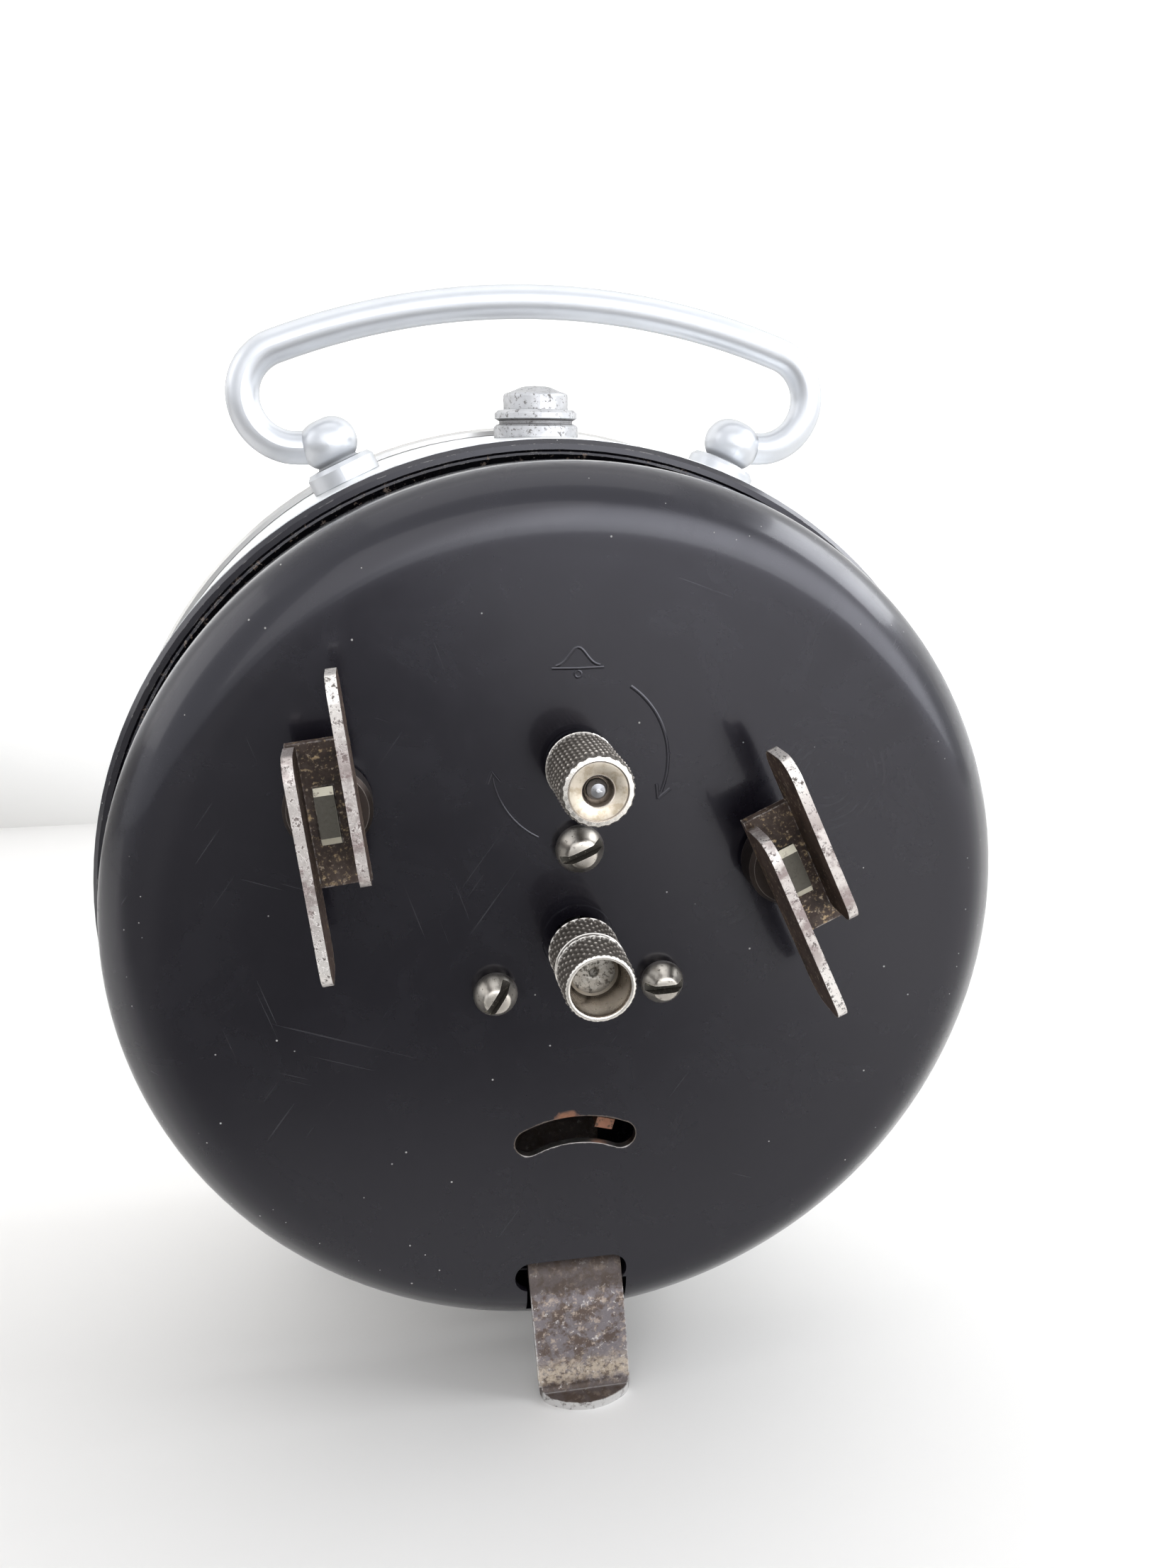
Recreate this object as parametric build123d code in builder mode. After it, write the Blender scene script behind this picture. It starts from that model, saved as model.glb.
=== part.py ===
from build123d import *
import math
import os

# Wind-up alarm clock with a dished bell as its back, a carrying handle,
# a push button on top and a strap foot behind. Millimetres. The dial looks
# along -Y, the bell back along +Y and +Z is up. The finished clock's origin
# lies on the table plane, under the clock's axis, in the middle of the
# footprint's depth.
#
# Terms used below: a "spot" is an (x, z) place where a line along Y passes;
# a half section is a list of (radius, y) points turned about such a line.

os.makedirs("parts", exist_ok=True)

# ======================= driving dimensions ==============================
ORIGIN_Y = 8.75        # pieces are drawn about the handle posts' plane; the origin is this far behind
AXIS_H = 58.5          # height of the clock's axis above the table
RUN = 0.05             # radial running clearance
FIX = 0.02             # gap of a seated piece

BELL_R = 50.0          # outside radius of the bell back
BELL_Y = 29.0          # outer flat face of the bell back
BELL_EDGE_Y = 18.4     # open edge of the bell
BELL_T = 0.9           # sheet thickness of the bell
RIM_R = 52.1           # outside radius of the back cover's rolled rim
RIM_Y = 15.6           # rear of that rim
CASE_R_REAR = 52.2     # drum outside radius behind
CASE_R_FRONT = 52.9    # drum outside radius in front
CASE_Y_REAR = 14.4
CASE_Y_FRONT = -16.6
CASE_T = 0.8
BEZEL_R = 53.8
DIAL_Y = -15.2         # rear face of the dial
DIAL_T = 0.6

# movement plates
REAR_IN, REAR_OUT = 9.0, 10.0
FRONT_IN, FRONT_OUT = -10.0, -11.0
PLATE_T = 1.0
PLATE_R = 43.0

# arbors, studs and their ends
CENTRE_ARBOR_R = 1.2
ALARM_ARBOR_R = 1.0
WIND_R = 2.3           # winding arbor through the rear plate
WIND_WHEEL_R = 2.4     # winding arbor inside its great wheel
WIND_PIVOT = 1.5       # its front pivot
THIRD_PIVOT, FOURTH_PIVOT, ESCAPE_PIVOT, PALLET_PIVOT, STAR_PIVOT = 0.6, 0.5, 0.45, 0.45, 0.7
HAMMER_R, HAMMER_PIVOT = 1.0, 0.6
CUP_R = 1.8            # balance cup screws
PILLAR_END_R = 1.2
BELL_PILLAR_END_R = 1.5
STUD_END_R = 0.9       # dial posts and minute stud in the front plate
MINUTE_STUD_R = 0.7
CANNON_R = 1.9
HOUR_PIPE_R = 2.6

# tooth counts of each wheel and the pinion it meshes with
GOING_TEETH, CENTRE_PINION = 60, 10
CENTRE_TEETH, THIRD_PINION = 64, 8
THIRD_TEETH, FOURTH_PINION = 60, 8
FOURTH_TEETH, ESCAPE_PINION = 60, 8
MINUTE_TEETH, CANNON_TEETH = 36, 12
HOUR_TEETH, MINUTE_PINION = 40, 10
ALARM_GREAT_TEETH, STAR_PINION = 50, 8

# gear modules and profile shifts
MINUTE_REACH = 12.25   # centre arbor to minute stud
GOING_MODULE = 23.6836 * 2 / (GOING_TEETH + CENTRE_PINION)
CENTRE_MODULE = 0.4
THIRD_MODULE = 0.4
FOURTH_MODULE = 0.3
CANNON_MODULE = MINUTE_REACH * 2 / (CANNON_TEETH + MINUTE_TEETH)
HOUR_MODULE = MINUTE_REACH * 2 / (HOUR_TEETH + MINUTE_PINION)
ALARM_MODULE = 0.6
WHEEL_SHIFT, PINION_SHIFT = -0.3, 0.3
BACKLASH = 0.16        # taken off each tooth's width


# ======================= geometry helpers ================================
def polar(origin, radius, deg):
    return (origin[0] + radius * math.cos(math.radians(deg)),
            origin[1] + radius * math.sin(math.radians(deg)))


def angle(start, end):
    return math.atan2(end[1] - start[1], end[0] - start[0])


def bearing(start, end):
    return math.degrees(angle(start, end))


def midpoint(start, end):
    return ((start[0] + end[0]) / 2, (start[1] + end[1]) / 2)


def mesh_distance(module, wheel_teeth, pinion_teeth):
    return module * (wheel_teeth + pinion_teeth) / 2


def gap_phase(direction, teeth):
    """Phase that puts a tooth gap opposite to direction, facing the mating wheel."""
    return direction + math.pi + math.pi / teeth


def sin_cos(deg):
    return math.sin(math.radians(deg)), math.cos(math.radians(deg))


def face(spot, y):
    """Plane facing the dial side: sketch x is +X, sketch y is +Z, extrudes to -Y."""
    return Plane(origin=(spot[0], y, spot[1]), x_dir=(1, 0, 0), z_dir=(0, -1, 0))


def profile(spot):
    """Plane through an arbor line: sketch x is the radius, sketch y is +Y."""
    return Plane(origin=(spot[0], 0, spot[1]), x_dir=(1, 0, 0), z_dir=(0, 0, 1))


def line_y(spot):
    return Axis((spot[0], 0, spot[1]), (0, 1, 0))


def back_face(spot, y, deg):
    """Plane looking out of the back; sketch y leans deg to the left as seen from behind."""
    s, c = sin_cos(deg)
    return Plane(origin=(spot[0], y, spot[1]), x_dir=(-c, 0, s), z_dir=(0, 1, 0))


def edge_on(spot, y, deg, across):
    """Plane at across along back_face's x; sketch x runs along its y, sketch y to +Y."""
    s, c = sin_cos(deg)
    return Plane(origin=(spot[0] - c * across, y, spot[1] + s * across),
                 x_dir=(s, 0, c), z_dir=(-c, 0, s))


def radial(deg):
    """Plane holding the Y axis and a line out from the clock's axis, deg from up towards +X."""
    s, c = sin_cos(deg)
    return Plane(origin=(0, 0, AXIS_H), x_dir=(0, 1, 0), z_dir=(c, 0, -s))


def radial_axis(deg, y=0):
    s, c = sin_cos(deg)
    return Axis((0, y, AXIS_H), (s, 0, c))


def across_radial(deg, radius, y=0):
    """Plane square to a radial line at the given radius, facing outwards."""
    s, c = sin_cos(deg)
    return Plane(origin=(s * radius, y, AXIS_H + c * radius), x_dir=(0, 1, 0), z_dir=(s, 0, c))


def rod(radius, y0, y1):
    """Half section of a solid rod."""
    return [(0, y0), (radius, y0), (radius, y1), (0, y1)]


def ring(r_in, r_out, y0, y1):
    """Half section of a tube."""
    return [(r_in, y0), (r_out, y0), (r_out, y1), (r_in, y1)]


def arbor_section(radius, pivot):
    """Half section of an arbor between the plates, with a pivot at each end."""
    return [(0, FRONT_OUT - 0.2), (pivot, FRONT_OUT - 0.2), (pivot, FRONT_IN + 0.1),
            (radius, FRONT_IN + 0.1), (radius, REAR_IN - 0.1), (pivot, REAR_IN - 0.1),
            (pivot, REAR_OUT + 0.2), (0, REAR_OUT + 0.2)]


def involute(pressure):
    return math.tan(pressure) - pressure


def gear(teeth, module, shift, phase):
    """Involute outline with one tooth centred at angle phase (radians)."""
    pressure = math.radians(20)
    r_pitch = module * teeth / 2
    r_base = r_pitch * math.cos(pressure)
    width = module * (math.pi / 2 + 2 * shift * math.tan(pressure)) - BACKLASH / 2
    r_tip = r_pitch + module * (1 + shift)
    r_root = r_pitch - module * (1.25 - shift)

    def half_angle(r):
        r = max(r, r_base)
        flank = involute(math.acos(min(1, r_base / r)))
        return width / (2 * r_pitch) + involute(pressure) - flank

    # shorten the teeth until their tips are not too sharp
    while half_angle(r_tip) < 0.10 * module / r_tip:
        r_tip -= 0.01 * module
    r_start = max(r_root, r_base)
    radii = [r_start, (r_start + r_tip) / 2, r_tip]
    if r_base > r_root:
        radii.insert(0, r_root)
    points = []
    for k in range(teeth):
        mid = phase + 2 * math.pi * k / teeth
        for side, stations in ((-1, radii), (1, radii[::-1])):
            for r in stations:
                turn = mid + side * half_angle(r)
                points.append((r * math.cos(turn), r * math.sin(turn)))
    return points


def saw(teeth, r_tip, r_root, phase, lean=0.5, width=0.12):
    """Pointed wheel outline with a tip at angle phase; lean 0.5 is symmetric."""
    pitch = 2 * math.pi / teeth
    half_tip = width / r_tip
    # (radius, angle from the tip) of one tooth
    tooth = [(r_root, -pitch * lean * 0.86), (r_tip, -half_tip),
             (r_tip, half_tip), (r_root, pitch * (1 - lean) * 0.86)]
    return [(r * math.cos(phase + pitch * k + turn), r * math.sin(phase + pitch * k + turn))
            for k in range(teeth) for r, turn in tooth]


def coil(r_start, r_end, turns, thick, start_angle, tail):
    """Outline of a flat spiral strip that ends in a straight tail."""
    steps = turns * 26
    middle = []
    for k in range(steps + 1):
        turn = start_angle + 2 * math.pi * turns * k / steps
        r = r_start + (r_end - r_start) * k / steps
        middle.append((r * math.cos(turn), r * math.sin(turn)))
    middle.append(tail)
    left, right = [], []
    for i, point in enumerate(middle):
        before, after = middle[max(i - 1, 0)], middle[min(i + 1, len(middle) - 1)]
        dx, dy = after[0] - before[0], after[1] - before[1]
        length = math.hypot(dx, dy)
        nx, ny = -dy / length * thick / 2, dx / length * thick / 2
        left.append((point[0] + nx, point[1] + ny))
        right.append((point[0] - nx, point[1] - ny))
    return left + right[::-1]


# ======================= modelling helpers ===============================
# Each works on the part that is open where it is called. The sketch is handed
# over explicitly, since a sketch made in a function does not join that part.
def turned(spot, points, mode=Mode.ADD):
    """Revolve a half section about the line at spot."""
    with BuildSketch(profile(spot)) as half:
        with BuildLine():
            Polyline(*points, close=True)
        make_face()
    revolve(half.sketch, axis=line_y(spot), mode=mode)


def disc(spot, radius, y, thick, mode=Mode.ADD):
    """Round disc from y towards the dial."""
    with BuildSketch(face(spot, y)) as outline:
        Circle(radius)
    extrude(outline.sketch, amount=thick, mode=mode)


def drill(spot, radius, y, depth):
    """Round hole from y towards the dial."""
    disc(spot, radius, y, depth, Mode.SUBTRACT)


def bar(spot, y, length, width, thick, deg=0, mode=Mode.ADD):
    """Rectangular block from y towards the dial, its length turned by deg."""
    with BuildSketch(face(spot, y)) as outline:
        Rectangle(length, width, rotation=deg)
    extrude(outline.sketch, amount=thick, mode=mode)


def radial_disc(deg, r_from, radius, length, y=0, mode=Mode.ADD):
    """Round bar pointing out from the clock's axis."""
    with BuildSketch(across_radial(deg, r_from, y)) as outline:
        Circle(radius)
    extrude(outline.sketch, amount=length, mode=mode)


def sheet(spot, y, points, thick, windows=None):
    """Flat piece from y towards the dial; windows are (inner radius, outer radius, count)."""
    with BuildSketch(face(spot, y)) as outline:
        with BuildLine():
            Polyline(*points, close=True)
        make_face()
        if windows:
            r_in, r_out, count = windows
            with PolarLocations((r_in + r_out) / 2, count):
                Circle((r_out - r_in) / 2, mode=Mode.SUBTRACT)
    extrude(outline.sketch, amount=thick)


def save(builder, name):
    """Set the finished piece over the middle of the footprint and write it."""
    piece = builder.part.moved(Location((0, -ORIGIN_Y, 0)))
    piece.label = name
    export_step(piece, "parts/" + name + ".step")


# ======================= places ==========================================
CENTRE = (0.0, AXIS_H)                          # hand-setting arbor
ALARM = (0.0, AXIS_H + HOUR_MODULE * HOUR_TEETH)   # alarm-setting arbor
GOING_WIND = (-22.2, AXIS_H + 8.25)
ALARM_WIND = (25.5, AXIS_H + 16.8)
BALANCE = (0.0, AXIS_H - 35.8)
THIRD = polar(CENTRE, mesh_distance(CENTRE_MODULE, CENTRE_TEETH, THIRD_PINION), -35)
FOURTH = polar(THIRD, mesh_distance(THIRD_MODULE, THIRD_TEETH, FOURTH_PINION), -50)
ESCAPE = polar(FOURTH, mesh_distance(FOURTH_MODULE, FOURTH_TEETH, ESCAPE_PINION), -150)
PALLET = polar(ESCAPE, 7, bearing(ESCAPE, BALANCE))
MINUTE_STUD = polar(CENTRE, MINUTE_REACH, 200)
STAR = polar(ALARM_WIND, mesh_distance(ALARM_MODULE, ALARM_GREAT_TEETH, STAR_PINION), -60)
HAMMER = polar(STAR, 9.0, -100)
PILLARS = [(-32.2, 45.2), (19.5, 92.9), (34.0, 36.0), (-18.0, 26.0), (-16.0, 95.0)]
DIAL_POSTS = [polar(CENTRE, 38, deg) for deg in (20, 140, 260)]
SCREWS = [polar(CENTRE, 10.56, deg) for deg in (90, 210, 330)]

POST_ANG = 25.22       # handle posts, degrees from straight up
POST_R = 56.48         # radius of the handle balls' centres
BALL_X = POST_R * math.sin(math.radians(POST_ANG))
BALL_Z = AXIS_H + POST_R * math.cos(math.radians(POST_ANG))
FOOT_ANG = 28.0        # front feet, degrees from straight down
FOOT_Y = -8.0
FOOT_DEGS = (180 - FOOT_ANG, 180 + FOOT_ANG)
STUD_R = 1.5           # stems of posts and feet through the drum
STUD_HOLE_R = STUD_R + RUN
COLLAR_STEM_R = 2.2    # stem of the button collar

# the drum's outside as a solid, to fit outer pieces against
SKIN = [(0, CASE_Y_REAR), (CASE_R_REAR + FIX, CASE_Y_REAR),
        (CASE_R_FRONT + FIX, CASE_Y_FRONT), (0, CASE_Y_FRONT)]

# ======================= case ============================================
# drum: a sheet shell with a turned-in lip in front
with BuildPart() as case_drum:
    turned(CENTRE, [
        (CASE_R_REAR, CASE_Y_REAR), (CASE_R_FRONT, CASE_Y_FRONT + 0.6),
        (CASE_R_FRONT - 0.6, CASE_Y_FRONT), (48.0, CASE_Y_FRONT), (48.0, CASE_Y_FRONT + CASE_T),
        (CASE_R_FRONT - CASE_T - 0.3, CASE_Y_FRONT + CASE_T),
        (CASE_R_FRONT - CASE_T, CASE_Y_FRONT + CASE_T + 0.3),
        (CASE_R_REAR - CASE_T, CASE_Y_REAR)])
    for deg, hole_r in ((POST_ANG, STUD_HOLE_R), (-POST_ANG, STUD_HOLE_R), (0, 2.3)):
        radial_disc(deg, 40, hole_r, 20, mode=Mode.SUBTRACT)
    for deg in FOOT_DEGS:
        radial_disc(deg, 40, STUD_HOLE_R, 20, y=FOOT_Y, mode=Mode.SUBTRACT)
save(case_drum, "case_drum")

# back cover: a lid with a rolled rim outside and a sunk flat plate
RIVETS = [(-3.6, AXIS_H - 37.6), (3.6, AXIS_H - 37.6)]
RIVET_HOLE_R = 1.05
with BuildPart() as back_cover:
    turned(CENTRE, [
        (0, 11.4), (51.2, 11.4), (51.2, 14.42), (RIM_R - 0.5, 14.42), (RIM_R, 14.8), (RIM_R, 15.1),
        (RIM_R - 0.5, RIM_Y), (51.0, RIM_Y), (50.75, 15.42), (50.5, 15.5), (49.9, 15.1),
        (49.7, 13.2), (49.0, 12.2), (0, 12.2)])
    for spot, hole_r in ((CENTRE, 2.2), (ALARM, 2.0), (GOING_WIND, 3.0), (ALARM_WIND, 3.0),
                         (HAMMER, 2.6)):
        drill(spot, hole_r, 20, 15)
    for spot in SCREWS:
        drill(spot, BELL_PILLAR_END_R + RUN, 20, 15)
    # arc-shaped window over the balance
    with BuildSketch(face(BALANCE, 20)):
        Circle(13.9)
        Circle(10.7, mode=Mode.SUBTRACT)
        with BuildLine():
            Polyline((0, 0), (-30, 26), (-30, -20), (30, -20), (30, 26), close=True)
        make_face(mode=Mode.SUBTRACT)
    extrude(amount=15, mode=Mode.SUBTRACT)
    for spot in RIVETS:
        drill(spot, RIVET_HOLE_R, 20, 15)
save(back_cover, "back_cover")

# front bezel: a rounded ring slipped over the drum, holding the glass
with BuildPart() as front_bezel:
    with BuildSketch(profile(CENTRE)):
        with BuildLine():
            Polyline((CASE_R_FRONT + FIX, -13.8), (BEZEL_R - 0.35, -13.8),
                     (BEZEL_R, -14.2), (BEZEL_R, -18.6))
            Spline((BEZEL_R, -18.6), (52.6, -22.0), (49.4, -23.6), tangents=((0, -1), (-1, -0.1)))
            Polyline((49.4, -23.6), (47.6, -23.2), (46.3, -21.6), (46.3, -20.9), (47.4, -20.9),
                     (47.4, -19.4), (48.3, -18.4), (48.3, CASE_Y_FRONT - FIX),
                     (CASE_R_FRONT + FIX, CASE_Y_FRONT - FIX), (CASE_R_FRONT + FIX, -13.8))
        make_face()
    revolve(axis=line_y(CENTRE))
save(front_bezel, "front_bezel")


# domed glass with a flat rim
GLASS_R = 46.2         # radius of the domed part
GLASS_MID_R = 23.5     # station where the arcs are pinned
GLASS_RIM_R = 47.3
GLASS_IN_EDGE, GLASS_IN_TOP = -19.6, -23.6
GLASS_OUT_EDGE, GLASS_OUT_TOP = -20.8, -24.6


def dome(edge_y, top_y, x):
    """Y of the glass's dome at radius x."""
    sag = edge_y - top_y
    sphere_r = (GLASS_R * GLASS_R + sag * sag) / (2 * sag)
    return top_y + sphere_r - math.sqrt(sphere_r * sphere_r - x * x)


with BuildPart() as crystal_glass:
    with BuildSketch(profile(CENTRE)):
        with BuildLine():
            Line((0, GLASS_OUT_TOP), (0, GLASS_IN_TOP))
            ThreePointArc((0, GLASS_IN_TOP),
                          (GLASS_MID_R, dome(GLASS_IN_EDGE, GLASS_IN_TOP, GLASS_MID_R)),
                          (GLASS_R, GLASS_IN_EDGE))
            Polyline((GLASS_R, GLASS_IN_EDGE), (GLASS_RIM_R, GLASS_IN_EDGE),
                     (GLASS_RIM_R, GLASS_OUT_EDGE), (GLASS_R, GLASS_OUT_EDGE))
            ThreePointArc((GLASS_R, GLASS_OUT_EDGE),
                          (GLASS_MID_R, dome(GLASS_OUT_EDGE, GLASS_OUT_TOP, GLASS_MID_R)),
                          (0, GLASS_OUT_TOP))
        make_face()
    revolve(axis=line_y(CENTRE))
save(crystal_glass, "crystal_glass")

# dial with a sunk alarm circle and a raised minute ring
DIAL_FACE = DIAL_Y - DIAL_T
with BuildPart() as dial_plate:
    disc(CENTRE, 50.6, DIAL_Y, DIAL_T)
    with BuildSketch(face(CENTRE, DIAL_FACE)):
        Circle(46.6)
        Circle(46.0, mode=Mode.SUBTRACT)
    extrude(amount=0.25)
    disc(ALARM, 8.6, DIAL_FACE, -0.2, Mode.SUBTRACT)
    with BuildSketch(face(CENTRE, 0)):
        Circle(2.9)
        with Locations((0, ALARM[1] - AXIS_H)):
            Circle(1.15)
    extrude(amount=30, mode=Mode.SUBTRACT)
save(dial_plate, "dial_plate")

# applied hour batons, wider at the quarters
BATON_PITCH_R = 42.3
with BuildPart() as hour_markers:
    for k in range(12):
        s, c = sin_cos(30 * k)
        with BuildSketch(Plane(
                origin=(s * BATON_PITCH_R, DIAL_FACE, AXIS_H + c * BATON_PITCH_R),
                x_dir=(c, 0, -s), z_dir=(0, -1, 0))):
            Rectangle(1.5 if k % 3 else 2.4, 5.0)
        extrude(amount=0.45)
save(hour_markers, "hour_markers")

# ======================= bell and its fixings ============================
# regulator window: radii and end angles of an arc-shaped slot
WINDOW_OUT, WINDOW_MID, WINDOW_IN = 13.95, 12.3, 10.65
WINDOW_DEGS = (64.5, 115.5)
WINDOW_BULGE = 7.6     # degrees the round ends reach beyond

# bell: a dished sheet with soft shoulder and holes for arbors and screws
with BuildPart() as bell_back:
    with BuildSketch(profile(CENTRE)):
        with BuildLine():
            bell_in_r, bell_in_y = BELL_R - BELL_T, BELL_Y - BELL_T
            Line((0, BELL_Y), (41.0, BELL_Y))
            Spline((41.0, BELL_Y), (46.9, 28.1), (49.2, 26.0), (BELL_R, 23.2),
                   tangents=((1, 0), (0, -1)))
            Polyline((BELL_R, 23.2), (BELL_R, BELL_EDGE_Y + 0.2), (BELL_R - 0.2, BELL_EDGE_Y),
                     (bell_in_r, BELL_EDGE_Y), (bell_in_r, 23.2))
            Spline((bell_in_r, 23.2), (48.4, 25.6), (46.5, 27.3), (41.0, bell_in_y),
                   tangents=((0, 1), (-1, 0)))
            Polyline((41.0, bell_in_y), (0, bell_in_y), (0, BELL_Y))
        make_face()
    revolve(axis=line_y(CENTRE))
    # raised collars around the two setting arbors
    for spot, collar_r in ((CENTRE, 4.0), (ALARM, 3.6)):
        with BuildSketch(Plane(origin=(spot[0], BELL_Y - 0.2, spot[1]),
                               x_dir=(1, 0, 0), z_dir=(0, 1, 0))):
            Circle(collar_r)
        extrude(amount=0.45, taper=20)
    for spot, hole_r in ((CENTRE, 2.7), (ALARM, 2.5), (GOING_WIND, 3.4), (ALARM_WIND, 3.4)):
        drill(spot, hole_r, 40, 20)
    for spot in SCREWS:
        drill(spot, 1.3, 40, 20)
    with BuildSketch(face((BALANCE[0] + 0.25, BALANCE[1] + 0.35), 40)):
        with BuildLine():
            out0, out1 = (polar((0, 0), WINDOW_OUT, deg) for deg in WINDOW_DEGS)
            in0, in1 = (polar((0, 0), WINDOW_IN, deg) for deg in WINDOW_DEGS)
            end0 = polar((0, 0), WINDOW_MID, WINDOW_DEGS[0] - WINDOW_BULGE)
            end1 = polar((0, 0), WINDOW_MID, WINDOW_DEGS[1] + WINDOW_BULGE)
            ThreePointArc(out0, (0, WINDOW_OUT), out1)
            ThreePointArc(out1, end1, in1)
            ThreePointArc(in1, (0, WINDOW_IN), in0)
            ThreePointArc(in0, end0, out0)
        make_face()
    extrude(amount=20, mode=Mode.SUBTRACT)
    # slot for the strap foot, which runs on below, behind the strap
    with BuildSketch(face((0.8, AXIS_H - 42.0), 40)):
        SlotOverall(13.2, 3.8)
    extrude(amount=18, mode=Mode.SUBTRACT)
    bar((0.1, AXIS_H - 45.3), 40, 11.8, 4.0, 18, mode=Mode.SUBTRACT)
save(bell_back, "bell_back")

# three ball-headed slotted screws: head radius and slot angle of each
SCREW_HEADS = ((2.58, 23.0), (2.38, 2.0), (2.38, 58.0))
with BuildPart() as bell_screws:
    for spot, (head_r, _) in zip(SCREWS, SCREW_HEADS):
        with BuildSketch(profile(spot)):
            with BuildLine():
                Polyline((0, 20.4), (1.2, 20.4), (1.2, BELL_Y + FIX), (0.8 * head_r, BELL_Y + FIX))
                Spline((0.8 * head_r, BELL_Y + FIX), (head_r, BELL_Y + 1.25),
                       (0.66 * head_r, BELL_Y + 2.8), (0, BELL_Y + 3.3),
                       tangents=((0.6, 0.8), (-1, 0)))
                Line((0, BELL_Y + 3.3), (0, 20.4))
            make_face()
        revolve(axis=line_y(spot))
    for spot, (_, slot_deg) in zip(SCREWS, SCREW_HEADS):
        with BuildSketch(back_face(spot, BELL_Y + 4, 0)):
            Rectangle(6, 0.95, rotation=slot_deg)
        extrude(amount=-2.1, mode=Mode.SUBTRACT)
save(bell_screws, "bell_screws")

# three pillars that hold the bell off the cover
with BuildPart() as bell_pillars:
    for spot in SCREWS:
        turned(spot, [(0, 9.1), (BELL_PILLAR_END_R, 9.1), (BELL_PILLAR_END_R, 12.22), (2.6, 12.22),
                      (2.6, 28.08), (1.22, 28.08), (1.22, 20.2), (0, 20.2)])
save(bell_pillars, "bell_pillars")

with BuildPart() as cover_spacers:
    for spot in SCREWS:
        with BuildSketch(face(spot, 11.38)):
            Circle(3.2)
            Circle(BELL_PILLAR_END_R + RUN, mode=Mode.SUBTRACT)
        extrude(amount=1.36)
save(cover_spacers, "cover_spacers")

# ======================= feet ============================================
# strap foot: bent strip riveted to the cover, out through the bell's slot
STRAP_W = 11.0
STRAP_T = 1.0
STRAP_X = 0.2          # middle of the strip's upper end
STRAP_SKEW = 1.0       # the lower end stands this far towards -X
STRAP_HALF = STRAP_W / 2
# side view of one face of the strip: (y, height from the clock's axis)
STRAP_PATH = [(12.26, -31.5), (12.26, -41.9), (27.3, -42.0), (28.3, -46.5),
              (28.75, -58.5), (32.5, -58.5)]
with BuildPart() as rear_foot:
    with BuildSketch(Plane(origin=(STRAP_X - STRAP_HALF - STRAP_SKEW, 0, AXIS_H),
                           x_dir=(0, 1, 0), z_dir=(1, 0, 0))):
        with BuildLine():
            strap_line = FilletPolyline(*STRAP_PATH, radius=1.7)
            offset(strap_line, amount=STRAP_T, side=Side.LEFT, closed=True)
        make_face()
    extrude(amount=STRAP_W + STRAP_SKEW)
    # edges lean below the slot
    with BuildSketch(face(CENTRE, 40)):
        with BuildLine():
            x_low, x_high = STRAP_X - STRAP_HALF, STRAP_X + STRAP_HALF
            Polyline((x_low, -20), (x_high, -20), (x_high, -43), (x_high - STRAP_SKEW, -58.6),
                     (x_low - STRAP_SKEW, -58.6), (x_low, -43), close=True)
        make_face()
    extrude(amount=40, mode=Mode.INTERSECT)
    # rounded toe
    with BuildSketch(Plane(origin=(STRAP_X - STRAP_SKEW, 0, -1))):
        with BuildLine():
            Polyline((-STRAP_HALF, 29.0), (-STRAP_HALF - 1, 29.0), (-STRAP_HALF - 1, 34),
                     (STRAP_HALF + 1, 34), (STRAP_HALF + 1, 29.0), (STRAP_HALF, 29.0))
            ThreePointArc((STRAP_HALF, 29.0), (STRAP_HALF - 0.53, 30.28),
                          (STRAP_HALF - 1.6, 31.15))
            ThreePointArc((STRAP_HALF - 1.6, 31.15), (0, 32.3), (1.6 - STRAP_HALF, 31.15))
            ThreePointArc((1.6 - STRAP_HALF, 31.15), (0.53 - STRAP_HALF, 30.28),
                          (-STRAP_HALF, 29.0))
        make_face()
    extrude(amount=2.7, mode=Mode.SUBTRACT)
    for spot in RIVETS:
        drill(spot, RIVET_HOLE_R, 20, 12)
save(rear_foot, "rear_foot")

with BuildPart() as foot_rivets:
    for spot in RIVETS:
        turned(spot, [(0, 10.95), (1.7, 10.95), (1.7, 11.38), (1.0, 11.38), (1.0, 13.28),
                      (1.8, 13.28), (1.5, 13.9), (0, 14.1)])
save(foot_rivets, "foot_rivets")

# two ball feet under the front of the drum
FOOT_BALL_R = 4.0
FOOT_REACH = (AXIS_H - FOOT_BALL_R) / math.cos(math.radians(FOOT_ANG))   # to the balls' centres
with BuildPart() as front_feet:
    for deg in FOOT_DEGS:
        with BuildSketch(radial(deg)):
            with BuildLine():
                neck_y = FOOT_Y + 2.4
                Polyline((FOOT_Y, 49.2), (FOOT_Y + STUD_R, 49.2), (FOOT_Y + STUD_R, 52.0),
                         (FOOT_Y + 3.8, 52.0), (FOOT_Y + 3.8, 54.2), (FOOT_Y + 3.1, 55.2),
                         (neck_y, 56.4), (neck_y, FOOT_REACH - 3.2))
                ThreePointArc((neck_y, FOOT_REACH - 3.2), (FOOT_Y + FOOT_BALL_R, FOOT_REACH),
                              (FOOT_Y, FOOT_REACH + FOOT_BALL_R))
                Line((FOOT_Y, FOOT_REACH + FOOT_BALL_R), (FOOT_Y, 49.2))
            make_face()
        revolve(axis=radial_axis(deg, FOOT_Y))
    turned(CENTRE, SKIN, Mode.SUBTRACT)
    for deg in FOOT_DEGS:
        radial_disc(deg, 49.2, STUD_R, 6, y=FOOT_Y)
save(front_feet, "front_feet")

# ======================= handle ==========================================
ROD_R = 1.9            # handle rod

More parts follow.
